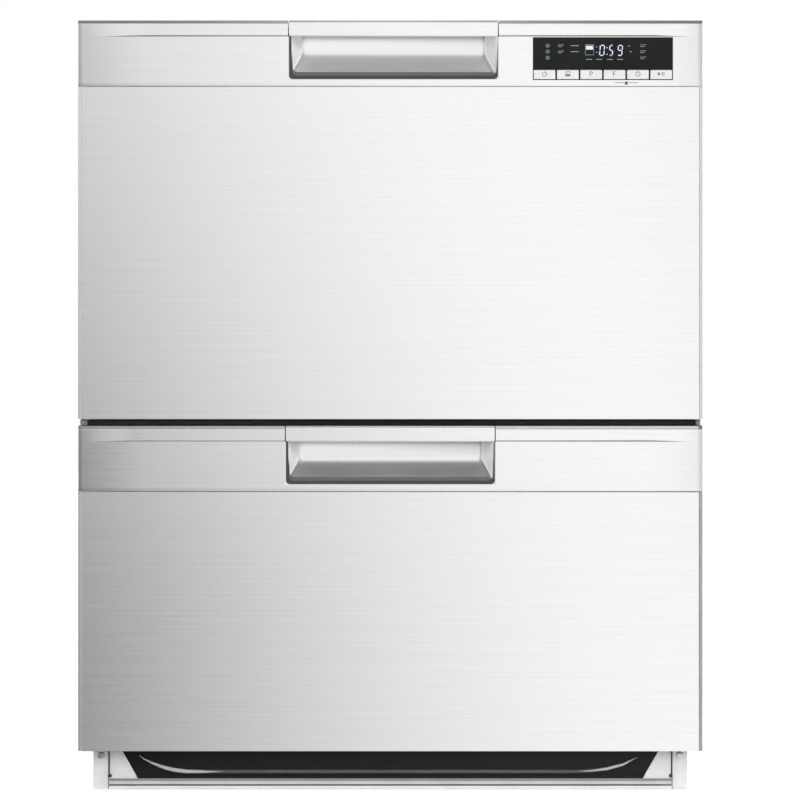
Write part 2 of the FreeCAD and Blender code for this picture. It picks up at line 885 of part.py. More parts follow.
def rail_pair(drawer, piece):
    """Left and right rails of one stage: outer in the cabinet, middle, or inner on the tub."""
    start = cabinet_front + s.rail_start
    step = s.rail_gauge + s.slide_gap
    half = s.rail_height / 2
    level = drawer.rail_level
    inner = inner_side - s.flange_reach
    if piece == "outer_rails":
        run = (start, rear_inside - s.outer_rail_rear_gap)
        right = channel(inner_side, inner, level, half, run, True)
    elif piece == "middle_rails":
        run = (start, rear_inside - s.middle_rail_rear_gap)
        right = channel(inner_side - step, inner, level, half - step, run, True)
    else:
        run = (start, rear_inside - s.inner_rail_rear_gap)
        right = channel(inner_side - step * 2, half_tub, level, half - step * 2, run, False)
    return group([right, mirrored(right)], drawer.label(piece))


def lid_edges():
    """The lid's rectangle, a little inside the cabinet's opening."""
    reach = half_tub + s.lid_side_gap
    return (-reach, reach), (tub_front, tub_back + s.lid_side_gap + s.sheet)


def peg_places():
    """How far along the lid its pegs sit, and how far out they reach."""
    along = (tub_front + s.peg_front_inset, tub_back - s.peg_rear_inset)
    return along, inner_side - s.guide_back - s.running_gap


def lid(drawer):
    """Insulated lid panel with four pegs that run in the guides."""
    width, depth = lid_edges()
    body = new_body(drawer.label("lid_plate"))
    low, high = drawer.lid_base, drawer.lid_top
    pad(body, "Z", low, high, rounded(width, depth, s.tub_corner + s.lid_side_gap))
    pieces = [body]
    peg_level = (low + high) / 2
    along, peg_end = peg_places()
    for y in along:
        for sign in (-1, 1):
            root = sign * (width[1] - s.lid_side_gap)
            tip = sign * peg_end
            start, end = (root, tip) if sign > 0 else (tip, root)
            pieces.append(rod("X", start, end, (y, peg_level), s.peg_radius))
    return join(pieces, drawer.label("lid"))


def lid_seal(drawer):
    """Rubber ring under the lid, over the tub's rim."""
    width, depth = lid_edges()
    inside = [(pair[0] + s.seal_width, pair[1] - s.seal_width) for pair in (width, depth)]
    body = new_body(drawer.label("lid_seal"))
    corner = s.tub_corner + s.lid_side_gap
    pad(body, "Z", drawer.seal_base, drawer.lid_base, rounded(width, depth, corner),
        rounded(inside[0], inside[1], corner - s.seal_width))
    return body


def lid_guides():
    """Eight brackets on the cabinet's sides, each with an upright slot for one peg."""
    guides = []
    along, peg_end = peg_places()
    for drawer in (upper, lower):
        peg_level = (drawer.lid_base + drawer.lid_top) / 2
        slot_top = peg_level + s.peg_radius + s.running_gap
        slot_base = peg_level - s.peg_radius - s.running_gap - s.lid_lift
        for y in along:
            edge = (inner_side - s.guide_depth, inner_side)
            half = s.guide_width / 2
            bracket = block(edge, (y - half, y + half),
                            (slot_base - s.guide_wall, slot_top + s.guide_wall))
            slot_half = s.peg_radius + s.running_gap
            slot = block((edge[0] - s.sheet, peg_end + s.running_gap), (y - slot_half, y + slot_half),
                         (slot_base, slot_top))
            right = carve(bracket, [slot])
            guides += [right, mirrored(right)]
    return group(guides, "lid_guides")


def front_panel(drawer):
    """Brushed steel tray: front sheet and four returns that sit on the door frame."""
    half = half_front - s.panel_inset
    low, high = drawer.bottom, drawer.split - s.seam
    body = new_body(drawer.label("front_panel"))
    pad(body, "Y", front_face, frame_front, rectangle((-half, half), (low, high)))
    pocket(body, "Y", front_face + s.skin, frame_front,
           rectangle((-half + s.skin, half - s.skin), (low + s.skin, high - s.skin)))
    return body


def handle_span(drawer, gap):
    """The handle's two ends, with a gap outside them."""
    reach = s.handle_half_width + gap
    return drawer.shift - reach, drawer.shift + reach


def fascia(drawer):
    """Steel strip over the panel, folded back along a crease, cut out for the handle."""
    fold = drawer.top - s.fold_drop
    low, high = drawer.split, drawer.top
    top_face = front_face + s.fold_set_back
    body = new_body(drawer.label("fascia"))
    outer = polygon((front_face, low), (frame_front, low), (frame_front, high), (top_face, high),
                    (front_face, fold))
    pad(body, "X", -half_front, half_front, outer)
    inner = polygon((front_face + s.skin, low + s.skin), (frame_front, low + s.skin),
                    (frame_front, high - s.skin), (top_face + s.skin, high - s.skin),
                    (front_face + s.skin, fold))
    pocket(body, "X", -half_front + s.skin, half_front - s.skin, inner)
    span = handle_span(drawer, s.handle_gap)
    handle_base = drawer.split + s.handle_bottom - s.handle_gap
    pocket(body, "Y", front_face, frame_front, rectangle(span, (handle_base, high + s.skin)))
    if drawer is upper:
        half = s.panel_width / 2 + s.seam / 2
        base = drawer.split + s.panel_bottom - s.seam / 2
        window = rectangle((panel_centre - half, panel_centre + half),
                           (base, base + s.panel_height + s.seam))
        pocket(body, "Y", front_face, front_face + s.skin * 2, window)
    return body


def subtract_loft(body, sections):
    """Take away a tapered pocket between two outlines on planes square to Y."""
    sketches = []
    for level, draw in sections:
        sketch = new_sketch(body, "Y", level)
        draw(sketch)
        sketches.append(sketch)
    feature = body.newObject("PartDesign::SubtractiveLoft", "scoop")
    feature.Profile = sketches[0]
    feature.Sections = sketches[1:]
    feature.Ruled = True
    return feature


def handle(drawer):
    """Scoop handle: grip strip in line with the fascia, tapered scoop and finger room behind."""
    left, right = handle_span(drawer, 0)
    base = drawer.split + s.handle_bottom
    fold = drawer.top - s.fold_drop
    top = drawer.top
    back = front_face + s.handle_depth
    strip_back = front_face + s.strip_thickness
    room_top = fold + s.finger_room
    body = new_body(drawer.label("handle"))
    outer = polygon((front_face, base), (back + s.handle_wall, base),
                    (back + s.handle_wall, room_top + s.handle_wall),
                    (strip_back, room_top + s.handle_wall), (strip_back, top),
                    (front_face + s.fold_set_back, top), (front_face, fold))
    pad(body, "X", left, right, outer)
    mouth_low = base + s.handle_wall
    deep_low = mouth_low + s.scoop_ramp
    mouth_span = (left + s.handle_wall, right - s.handle_wall)
    deep_span = (mouth_span[0] + s.scoop_draft, mouth_span[1] - s.scoop_draft)
    mouth = rounded(mouth_span, (mouth_low, room_top), s.scoop_corner)
    deep = rounded(deep_span, (deep_low, room_top), s.scoop_corner)
    subtract_loft(body, [(front_face, mouth), (back, deep)])
    strip = polygon((front_face, fold), (strip_back, fold), (strip_back, top),
                    (front_face + s.fold_set_back, top))
    pad(body, "X", left, right, strip)
    return body


def door_frame(drawer):
    """Moulded frame behind the steel fronts, with a spacer that carries the tub."""
    body = new_body(drawer.label("door_frame"))
    low = drawer.bottom + s.seam
    high = drawer.top - s.cabinet_top_gap
    width = (-half_front, half_front)
    pad(body, "Y", frame_front, frame_back, rectangle(width, (low, high)))
    bay = (-half_front + s.frame_lip, half_front - s.frame_lip)
    bay_depth = (frame_front, frame_back - s.frame_plate)
    rib = s.frame_lip / 2
    pocket(body, "Y", *bay_depth, rectangle(bay, (low + s.frame_lip, drawer.split - rib)))
    pocket(body, "Y", *bay_depth, rectangle(bay, (drawer.split + rib, high - s.frame_lip)))
    notch = handle_span(drawer, s.handle_gap)
    notch_top = drawer.top - s.fold_drop + s.finger_room + s.handle_wall + s.handle_gap
    notch_depth = (frame_front, front_face + s.handle_depth + s.handle_wall + s.handle_gap)
    pocket(body, "Y", *notch_depth, rectangle(notch, (drawer.split + rib, notch_top)))
    spacer = (-half_tub + s.spacer_inset, half_tub - s.spacer_inset)
    pad(body, "Y", frame_back, tub_front,
        rectangle(spacer, (drawer.tub_bottom, drawer.rim - s.spacer_inset)))
    return body


def tub(drawer):
    """Wash tub with a flanged rim, filter well, motor hole and ledges for the rack."""
    width = (-half_tub, half_tub)
    depth = (tub_front, tub_back)
    inside = [(pair[0] + s.tub_wall, pair[1] - s.tub_wall) for pair in (width, depth)]
    inner_corner = s.tub_corner - s.tub_wall
    low, floor_level, rim = drawer.tub_bottom, drawer.tub_floor, drawer.rim
    body = new_body(drawer.label("tub"))
    pad(body, "Z", low, rim, rounded(width, depth, s.tub_corner))
    hollow = pocket(body, "Z", floor_level, rim, rounded(inside[0], inside[1], inner_corner))
    doc.recompute()
    edges = []
    for number, edge in enumerate(hollow.Shape.Edges, start=1):
        box = edge.BoundBox
        on_floor = abs(box.ZMin - value_of(floor_level)) < TOUCHING and box.ZLength < TOUCHING
        if on_floor and box.XMax < value_of(inside[0][1]) + TOUCHING:
            edges.append(f"Edge{number}")
    round_off = body.newObject("PartDesign::Fillet", "floor_round")
    round_off.Base = (hollow, edges)
    bind(round_off, "Radius", s.tub_floor_round)
    flange_width = (-half_tub - s.rim_flange, half_tub + s.rim_flange)
    flange_depth = (tub_front, tub_back + s.rim_flange)
    pad(body, "Z", rim - s.tub_wall, rim,
        rounded(flange_width, flange_depth, s.tub_corner),
        rounded(inside[0], inside[1], inner_corner))
    well = (0, filter_middle)
    well_radius = s.filter_radius + s.running_gap
    pad(body, "Z", low - s.well_depth, low, circle(well, well_radius + s.tub_wall))
    pocket(body, "Z", low - s.well_depth + s.tub_wall, floor_level, circle(well, well_radius))
    motor_hole = circle((0, tub_middle), s.spigot_radius + s.running_gap)
    pocket(body, "Z", low, floor_level, motor_hole)
    ledge_run = (tub_middle - s.ledge_length / 2, tub_middle + s.ledge_length / 2)
    ledge_span = (drawer.rack_base - s.ledge_height, drawer.rack_base)
    for start in (-inner_tub - s.tub_wall / 2, inner_tub - s.ledge_width):
        end = start + s.ledge_width + s.tub_wall / 2
        pad(body, "Z", *ledge_span, rectangle((start, end), ledge_run))
    return body


def wash_motor(drawer):
    """Motor can under the tub, with the spigot and shaft that carry the spray arm."""
    middle = (0, tub_middle)
    low = drawer.tub_bottom
    can = rod("Z", low - s.motor_height, low, middle, s.motor_radius)
    spigot = rod("Z", low - s.sheet, drawer.spigot_top, middle, s.spigot_radius)
    shaft = rod("Z", drawer.spigot_top, drawer.hub_base + s.hub_height, middle, s.shaft_radius)
    return join([can, spigot, shaft], drawer.label("wash_motor"))


def spray_arm(drawer):
    """Two-bladed arm with a hub and a row of jets along each blade."""
    base = drawer.hub_base
    middle = (0, tub_middle)
    blade_base = base + (s.hub_height - s.arm_thickness) / 2
    blade_top = blade_base + s.arm_thickness
    straight = arm_radius - s.arm_half_width
    across = (tub_middle - s.arm_half_width, tub_middle + s.arm_half_width)
    pieces = [block((-straight, straight), across, (blade_base, blade_top))]
    for sign in (-1, 1):
        tip = (sign * straight, tub_middle)
        pieces.append(rod("Z", blade_base, blade_top, tip, s.arm_half_width))
    pieces.append(rod("Z", base, base + s.hub_height, middle, s.hub_radius))
    holes = [rod("Z", base - s.sheet, blade_top + s.hub_height, middle,
                 s.shaft_radius + s.shaft_gap)]
    for sign in (-1, 1):
        for number in range(int(value_of(s.jet_count))):
            jet = (sign * s.jet_pitch * (number + 1), tub_middle + sign * s.arm_half_width / 2)
            holes.append(rod("Z", (blade_base + blade_top) / 2, blade_top + s.sheet, jet,
                             s.jet_radius))
    return carve(join(pieces), holes, drawer.label("spray_arm"))


def drain_filter(drawer):
    """Filter cup in its well, with a rim on the tub's floor and a grip bar across."""
    centre = (0, filter_middle)
    bottom = drawer.tub_bottom - s.well_depth + s.tub_wall + s.running_gap
    rim_base = drawer.tub_floor + s.running_gap
    rim_top = rim_base + s.filter_wall * 2
    cup = rod("Z", bottom, rim_top, centre, s.filter_radius)
    rim = rod("Z", rim_base, rim_top, centre, s.filter_radius + s.filter_rim)
    hollow = rod("Z", bottom + s.filter_wall, rim_top + s.sheet, centre,
                 s.filter_radius - s.filter_wall)
    shell = carve(join([cup, rim]), [hollow])
    half = s.filter_grip_thickness / 2
    reach = s.filter_radius - s.filter_wall / 2
    grip = block((centre[0] - reach, centre[0] + reach), (centre[1] - half, centre[1] + half),
                 (bottom, rim_base + s.filter_grip_height))
    return join([shell, grip], drawer.label("drain_filter"))


def rack_edges():
    """The rack's outside rectangle inside the tub."""
    reach = inner_tub - s.rack_gap
    start = tub_front + s.tub_wall + s.rack_gap
    end = tub_back - s.tub_wall - s.rack_gap
    return (-reach, reach), (start, end)


def rack_levels(drawer):
    """The rack's underside, and the tops of its long wires and of the wires welded across them."""
    base = drawer.rack_base + s.shaft_gap
    low_top = base + s.wire
    return base, low_top, low_top + s.wire


def bar_places(straight, count):
    """Where the wires of one direction start, spread over a straight stretch of the hoop."""
    pitch = (straight[1] - straight[0] - s.wire) / (count - 1)
    return [straight[0] + pitch * number for number in range(int(value_of(count)))]


def tine_row(width, y, levels):
    """A wire across the rack with a row of upright tines on it."""
    across = (y, y + s.wire)
    pieces = [block(width, across, levels)]
    for number in range(int(value_of(s.tine_count))):
        x = width[0] + s.tine_side_inset + s.tine_pitch * number
        pieces.append(block((x, x + s.wire), across, (levels[1], levels[1] + s.tine_height)))
    return join(pieces)


def rack(drawer):
    """Wire rack, welded up from crossed base wires, four side mats, bent corners and rows of tines."""
    width, depth = rack_edges()
    base, low_top, row_top = rack_levels(drawer)
    inside = [(pair[0] + s.wire, pair[1] - s.wire) for pair in (width, depth)]
    corner = s.tub_corner - s.tub_wall - s.rack_gap
    straight_x, straight_y = [(pair[0] + corner, pair[1] - corner) for pair in (width, depth)]
    long_bars = bar_places(straight_x, s.long_bar_count)
    cross_bars = bar_places(straight_y, s.cross_bar_count)
    foot = (base, low_top)
    row_level = (low_top, row_top)
    rail = (drawer.rack_top - s.wire, drawer.rack_top)
    wires = []
    for level in (foot, rail):
        hoop = new_body(drawer.label("rack_hoop"))
        pad(hoop, "Z", *level, rounded(width, depth, corner),
            rounded(inside[0], inside[1], corner - s.wire))
        wires.append(carve(hoop, [block(straight_x, depth, level), block(width, straight_y, level)]))
    wires += [block((x, x + s.wire), inside[1], foot) for x in long_bars]
    wires += [block(width, (y, y + s.wire), row_level) for y in cross_bars]
    for y in (depth[0], inside[1][1]):
        run = (y, y + s.wire)
        wires.append(block(straight_x, run, foot))
        uprights = [block((x, x + s.wire), run, (low_top, rail[0])) for x in long_bars]
        wires.append(join([block(straight_x, run, rail)] + uprights))
    for x in (width[0], inside[0][1]):
        run = (x, x + s.wire)
        wires.append(block(run, straight_y, foot))
        uprights = [block(run, (y, y + s.wire), (row_top, rail[0])) for y in cross_bars]
        wires.append(join([block(run, straight_y, rail)] + uprights))
    front_row = depth[0] + s.tine_front_inset
    if drawer is upper:
        basket_start = value_of(basket_run()[0])
        beside_basket = [x for x in long_bars if value_of(x + s.wire) < basket_start]
        row_run = (width[0], beside_basket[-1] + s.wire)
        wires.append(tine_row(row_run, front_row, row_level))
        wires.append(tine_row(row_run, depth[1] - s.tine_rear_inset, row_level))
        wires += cup_lugs(width)
    else:
        wires.append(tine_row(width, front_row, row_level))
        wires += fold_clips(width, row_level)
    return group(wires, drawer.label("rack"))


def cup_lugs(width):
    """The two eyes on the rack's left rail that hold the cup shelf's rod."""
    hinge = cup_hinge()
    lugs = []
    for low, high in cup_lug_runs():
        level = (upper.rack_top, hinge[1] + s.cup_rod_radius + s.wire)
        lug = block((width[0], width[0] + s.cup_lug_depth), (low, high), level)
        eye = rod("Y", low - s.sheet, high + s.sheet, hinge, s.cup_rod_radius + s.shaft_gap)
        lugs.append(carve(lug, [eye]))
    return lugs


def fold_clips(width, row_level):
    """A wire across the rack and the three clips on it that hold the folding tines' rod."""
    axis = fold_axis()
    carrier = block(width, (axis[0] - s.wire / 2, axis[0] + s.wire / 2), row_level)
    clips = [carrier]
    for middle in clip_places():
        clip_x = (middle - s.clip_width / 2, middle + s.clip_width / 2)
        clip_y = (axis[0] - s.clip_depth / 2, axis[0] + s.clip_depth / 2)
        eye = rod("X", clip_x[0] - s.sheet, clip_x[1] + s.sheet, axis,
                  s.fold_rod_radius + s.shaft_gap)
        clip = block(clip_x, clip_y, (row_level[1], row_level[1] + s.clip_height))
        clips.append(carve(clip, [eye]))
    return clips


def cup_hinge():
    """The cup shelf's hinge line over the upper rack's left side, as x and z."""
    width, _ = rack_edges()
    return width[0] + s.wire * 2, upper.rack_top + s.cup_hinge_lift


def cup_lug_runs():
    """The two lugs that hold the cup shelf's rod, as y ranges."""
    half = s.cup_shelf_length / 2
    front = tub_middle - half
    back = tub_middle + half
    lug = s.clip_width
    gap = s.running_gap
    return (front - gap - lug, front - gap), (back + gap, back + gap + lug)


def cup_shelf():
    """Hinged cup shelf, folded up: barred plate on a rod."""
    hinge = cup_hinge()
    runs = cup_lug_runs()
    x = (hinge[0] - s.cup_shelf_thickness / 2, hinge[0] + s.cup_shelf_thickness / 2)
    length = (runs[0][1] + s.running_gap, runs[1][0] - s.running_gap)
    body = new_body("cup_shelf_plate")
    plate = rectangle(length, (hinge[1], hinge[1] + s.cup_shelf_width))
    pad(body, "X", *x, plate)
    margin = s.cup_bar
    pitch = (length[1] - length[0] - margin) / s.cup_slot_count
    first = rectangle((length[0] + margin, length[0] + pitch),
                      (hinge[1] + margin, hinge[1] + s.cup_shelf_width - margin))
    slot = pocket(body, "X", *x, first)
    doc.recompute()
    repeat_along(body, slot, "Y", pitch * (s.cup_slot_count - 1), s.cup_slot_count)
    rod_run = (runs[0][0], runs[1][1])
    hinge_rod = rod("Y", *rod_run, hinge, s.cup_rod_radius)
    return join([body, hinge_rod], "cup_shelf")


def fold_axis():
    """The folding tines' axis over the lower rack's base, as y and z."""
    _, depth = rack_edges()
    _, _, row_top = rack_levels(lower)
    return depth[1] - s.fold_rear_inset, row_top + s.fold_rod_lift


def clip_places():
    """The three clips that carry the folding tines' rod."""
    width, _ = rack_edges()
    outer = width[1] - s.fold_rod_inset
    return -outer, 0, outer


def folding_tines():
    """A row of upright tines on a rod that turns in three clips."""
    axis = fold_axis()
    outer_clip = clip_places()[2]
    reach = outer_clip + s.clip_width / 2
    pieces = [rod("X", -reach, reach, axis, s.fold_rod_radius)]
    first = s.fold_tine_pitch * (s.fold_tine_count - 1) / 2
    half = s.wire / 2
    free_run = value_of(outer_clip - s.clip_width)
    for number in range(int(value_of(s.fold_tine_count))):
        x = s.fold_tine_pitch * number - first
        between_clips = value_of(s.clip_width) < abs(value_of(x)) < free_run
        if not between_clips:
            continue
        pieces.append(block((x - half, x + half), (axis[0] - half, axis[0] + half),
                          (axis[1], axis[1] + s.tine_height)))
    return join(pieces, "folding_tines")


def basket_run():
    """The cutlery basket's place along the upper rack's right side, as an x range."""
    width, _ = rack_edges()
    right = width[1] - s.wire - s.rack_gap * 2
    return right - s.basket_width, right


def cutlery_basket():
    """Open basket of slotted side walls, end walls and dividers, beside the tines."""
    _, _, base = rack_levels(upper)
    x = basket_run()
    y = (tub_middle - s.basket_length / 2, tub_middle + s.basket_length / 2)
    wall = s.basket_wall
    cell_floor = base + wall
    top = base + s.basket_height
    panels = [block(x, y, (base, cell_floor))]
    slots = s.basket_cells * s.slot_count_per_cell
    slot_pitch = (s.basket_length - s.basket_bar) / slots
    for start in (x[0], x[1] - wall):
        side = new_body("basket_side")
        run = (start, start + wall)
        pad(side, "X", *run, rectangle(y, (cell_floor, top)))
        slot = pocket(side, "X", *run, rectangle((y[0] + s.basket_bar, y[0] + slot_pitch),
                                                 (cell_floor + s.slot_foot, top - s.slot_head)))
        doc.recompute()
        repeat_along(side, slot, "Y", slot_pitch * (slots - 1), slots)
        panels.append(side)
    pitch = (s.basket_length - wall) / s.basket_cells
    for number in range(int(value_of(s.basket_cells)) + 1):
        start = y[0] + pitch * number
        panels.append(block((x[0] + wall, x[1] - wall), (start, start + wall), (cell_floor, top)))
    return group(panels, "cutlery_basket")


def dispenser_levels(drawer):
    """The dispenser's box on the tub's inside front wall, its face and its flap's hinge line."""
    back = tub_front + s.tub_wall
    face = back + s.dispenser_depth
    left = -(s.dispenser_width / 2)
    hinge = (left + s.flap_barrel_radius + s.lug_margin,
             face + s.running_gap + s.flap_barrel_radius)
    return back, face, left, hinge


def dispenser(drawer):
    """Detergent dispenser: housing with a recess, two hinge lugs and the rinse cap's bore."""
    back, face, left, hinge = dispenser_levels(drawer)
    right = left + s.dispenser_width
    base, top = drawer.dispenser_base, drawer.dispenser_top
    housing = block((left, right), (back, face), (base, top))
    lug_reach = s.flap_barrel_radius + s.lug_margin
    pieces = [housing]
    for low in (base, top - s.lug_height):
        pieces.append(block((hinge[0] - lug_reach, hinge[0] + lug_reach),
                            (face - s.sheet, hinge[1] + lug_reach), (low, low + s.lug_height)))
    cut_left = hinge[0] + s.cup_recess_margin
    recess = block((cut_left, cut_left + s.cup_recess_width), (back + s.tub_wall, face + s.sheet),
                   (base + s.cup_recess_margin, top - s.cup_recess_margin))
    pin = rod("Z", base + s.pin_cover, top - s.pin_cover, hinge, s.flap_pin_radius + s.shaft_gap)
    cap = rod("Y", face - s.cap_shaft_length - s.sheet, face + s.sheet, cap_place(drawer),
              s.cap_shaft_radius + s.shaft_gap)
    return carve(join(pieces), [recess, pin, cap], drawer.label("dispenser"))


def cap_place(drawer):
    """The rinse cap's axis, as x and z."""
    return s.cap_place, (drawer.dispenser_base + drawer.dispenser_top) / 2


def dispenser_flap(drawer):
    """Flap over the detergent recess, on an upright hinge pin."""
    _, face, _, hinge = dispenser_levels(drawer)
    low = drawer.dispenser_base + s.lug_height + s.running_gap
    high = drawer.dispenser_top - s.lug_height - s.running_gap
    barrel = rod("Z", low, high, hinge, s.flap_barrel_radius)
    plate_front = face + s.running_gap
    right = hinge[0] + s.cup_recess_margin + s.cup_recess_width + s.flap_overlap
    plate = block((hinge[0], right), (plate_front, plate_front + s.flap_thickness), (low, high))
    pin_inset = s.pin_cover + s.pin_end_gap
    pin = rod("Z", drawer.dispenser_base + pin_inset, drawer.dispenser_top - pin_inset, hinge,
              s.flap_pin_radius)
    return join([barrel, plate, pin], drawer.label("dispenser_flap"))


def rinse_cap(drawer):
    """Quarter-turn cap of the rinse-aid tank, with a grip bar across it."""
    _, face, _, _ = dispenser_levels(drawer)
    place = cap_place(drawer)
    front = face + s.running_gap
    disc = rod("Y", front, front + s.cap_height, place, s.cap_radius)
    shaft = rod("Y", face - s.cap_shaft_length, front, place, s.cap_shaft_radius)
    half = s.cap_grip_thickness / 2
    reach = s.cap_radius - s.cap_grip_inset
    grip_end = front + s.cap_height + s.cap_grip_height
    grip = block((place[0] - reach, place[0] + reach), (front, grip_end),
                 (place[1] - half, place[1] + half))
    return join([disc, shaft, grip], drawer.label("rinse_cap"))


def key_place(number):
    """One key's left edge and bottom edge."""
    first = panel_centre - s.key_pitch * (len(KEY_NAMES) - 1) / 2 - s.key_width / 2
    return first + s.key_pitch * number, upper.split + s.key_bottom


def display_window():
    """Black glass of the control panel, pierced for the six keys."""
    half = s.panel_width / 2
    base = upper.split + s.panel_bottom
    body = new_body("display_window")
    outlines = [rectangle((panel_centre - half, panel_centre + half),
                          (base, base + s.panel_height))]
    for number in range(len(KEY_NAMES)):
        left, low = key_place(number)
        outlines.append(rectangle((left - s.key_gap, left + s.key_width + s.key_gap),
                                  (low - s.key_gap, low + s.key_height + s.key_gap)))
    pad(body, "Y", front_face, front_face + s.glass_thickness, *outlines)
    return body


def key(number, name):
    """One key: cap in its hole of the glass, and the stem that presses the switch."""
    left, low = key_place(number)
    front = front_face + s.key_recess
    cap = block((left, left + s.key_width), (front, front + s.key_depth),
                (low, low + s.key_height))
    centre = (left + s.key_width / 2, low + s.key_height / 2)
    stem_end = front + s.key_depth + s.key_stem_radius
    stem = rod("Y", front + s.key_depth, stem_end, centre, s.key_stem_radius)
    return join([cap, stem], name)


def control_module():
    """Electronics box behind the keys, on the door frame's plate."""
    half = s.panel_width / 2 + s.module_margin
    base = upper.split + s.key_bottom
    plate = frame_back - s.frame_plate
    start = front_face + s.key_recess + s.key_depth + s.key_stem_radius
    front = start + s.key_travel + s.running_gap
    box = block((panel_centre - half, panel_centre + half), (front, plate),
                (base, base + s.panel_height - s.module_margin))
    box.Label = "control_module"
    return box


subparts = [
    cabinet_wrapper(),
    rear_panel(),
    cabinet_screws(),
    mid_shelf(),
    base_pan(),
    front_base_rail(),
    inlet_valve(),
    drain_pump(),
    pump_impeller(),
    mains_gland(),
    lid_guides(),
]
for foot_name, foot_place in foot_places().items():
    subparts.append(levelling_foot(foot_name, foot_place))
for one in (upper, lower):
    for stage in ("outer_rails", "middle_rails", "inner_rails"):
        subparts.append(rail_pair(one, stage))
    for make in (lid, lid_seal, front_panel, fascia, handle, door_frame, tub, wash_motor, spray_arm,
                 drain_filter, rack, dispenser, dispenser_flap, rinse_cap):
        subparts.append(make(one))
subparts += [cup_shelf(), cutlery_basket(), folding_tines(), display_window(), control_module()]
for key_number, key_name in enumerate(KEY_NAMES):
    subparts.append(key(key_number, key_name))

doc.recompute()
for item in doc.Objects:
    if "Invalid" in item.State or "Error" in item.State:
        raise RuntimeError(f"{item.Label} did not build: {item.State}")
for item in subparts:
    if item.Shape.isNull() or not item.Shape.isValid():
        raise RuntimeError(f"{item.Label} has no valid shape")

os.makedirs("parts", exist_ok=True)
for item in subparts:
    item.Shape.exportStep(f"parts/{item.Label}.step")
print(len(subparts), "sub-parts written")
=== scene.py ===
import json
import math

import bmesh
import bpy
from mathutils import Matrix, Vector


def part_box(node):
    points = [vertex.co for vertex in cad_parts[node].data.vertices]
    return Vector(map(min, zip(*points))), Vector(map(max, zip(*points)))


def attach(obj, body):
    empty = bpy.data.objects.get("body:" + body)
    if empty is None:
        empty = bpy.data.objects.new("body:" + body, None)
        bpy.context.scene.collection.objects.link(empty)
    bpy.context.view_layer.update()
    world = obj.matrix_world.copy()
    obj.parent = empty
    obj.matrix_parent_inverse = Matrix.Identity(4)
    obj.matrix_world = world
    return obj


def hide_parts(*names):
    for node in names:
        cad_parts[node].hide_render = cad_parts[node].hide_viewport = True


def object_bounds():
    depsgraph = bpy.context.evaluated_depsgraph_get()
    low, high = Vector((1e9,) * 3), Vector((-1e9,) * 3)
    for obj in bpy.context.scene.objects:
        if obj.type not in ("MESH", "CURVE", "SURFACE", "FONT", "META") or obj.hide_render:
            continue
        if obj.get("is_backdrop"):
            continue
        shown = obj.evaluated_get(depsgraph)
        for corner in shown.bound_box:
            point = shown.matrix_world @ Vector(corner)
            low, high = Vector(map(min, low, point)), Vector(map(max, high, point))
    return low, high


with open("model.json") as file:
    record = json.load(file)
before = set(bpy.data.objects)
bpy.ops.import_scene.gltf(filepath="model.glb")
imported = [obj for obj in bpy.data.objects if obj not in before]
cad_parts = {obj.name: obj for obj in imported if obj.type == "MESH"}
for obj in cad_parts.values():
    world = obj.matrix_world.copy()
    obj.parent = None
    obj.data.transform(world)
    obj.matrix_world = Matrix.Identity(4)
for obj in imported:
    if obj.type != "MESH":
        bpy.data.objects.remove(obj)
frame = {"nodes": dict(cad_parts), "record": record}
cad_low, cad_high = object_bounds()

MM = 0.001


# Materials

def shader_nodes(name):
    """A new material with an empty Principled shader, and short ways to add and join nodes."""
    made = bpy.data.materials.new(name)
    made.use_nodes = True
    tree = made.node_tree
    tree.nodes.clear()
    out = tree.nodes.new("ShaderNodeOutputMaterial")
    shader = tree.nodes.new("ShaderNodeBsdfPrincipled")
    tree.links.new(shader.outputs["BSDF"], out.inputs["Surface"])

    def add(kind, **settings):
        node = tree.nodes.new("ShaderNode" + kind)
        for key, value in settings.items():
            if key in node.inputs:
                node.inputs[key].default_value = value
            else:
                setattr(node, key, value)
        return node

    return made, shader, add, tree.links.new


def object_noise(add, join, scale, detail=3.0, stretch=(1.0, 1.0, 1.0), roughness=0.5):
    """Noise laid out in the piece's own metres, drawn out along an axis by stretch."""
    where = add("TexCoord")
    sized = add("Mapping")
    sized.inputs["Scale"].default_value = stretch
    noise = add("TexNoise", Scale=scale, Detail=detail, Roughness=roughness)
    join(where.outputs["Object"], sized.inputs["Vector"])
    join(sized.outputs["Vector"], noise.inputs["Vector"])
    return noise


def between(add, join, source, low, high, start=0.3, end=0.7):
    """A number that goes from low to high as source goes from start to end."""
    span = add("MapRange")
    span.inputs["From Min"].default_value = start
    span.inputs["From Max"].default_value = end
    span.inputs["To Min"].default_value = low
    span.inputs["To Max"].default_value = high
    join(source, span.inputs["Value"])
    return span.outputs["Result"]


def tint(add, join, source, dark, light, start=0.3, end=0.7):
    """A colour that goes from dark to light as source goes from start to end."""
    ramp = add("ValToRGB")
    ramp.color_ramp.elements[0].position = start
    ramp.color_ramp.elements[1].position = end
    ramp.color_ramp.elements[0].color = (*dark, 1.0)
    ramp.color_ramp.elements[1].color = (*light, 1.0)
    join(source, ramp.inputs["Fac"])
    return ramp.outputs["Color"]


def bumped(add, join, shader, source, strength, distance):
    bump = add("Bump", Strength=strength, Distance=distance)
    join(source, bump.inputs["Height"])
    join(bump.outputs["Normal"], shader.inputs["Normal"])
    return bump


def grey(value, warm=0.0):
    """A near neutral colour; warm above 0 leans it to yellow and below 0 to blue."""
    return (value * (1 + warm), value, value * (1 - warm))


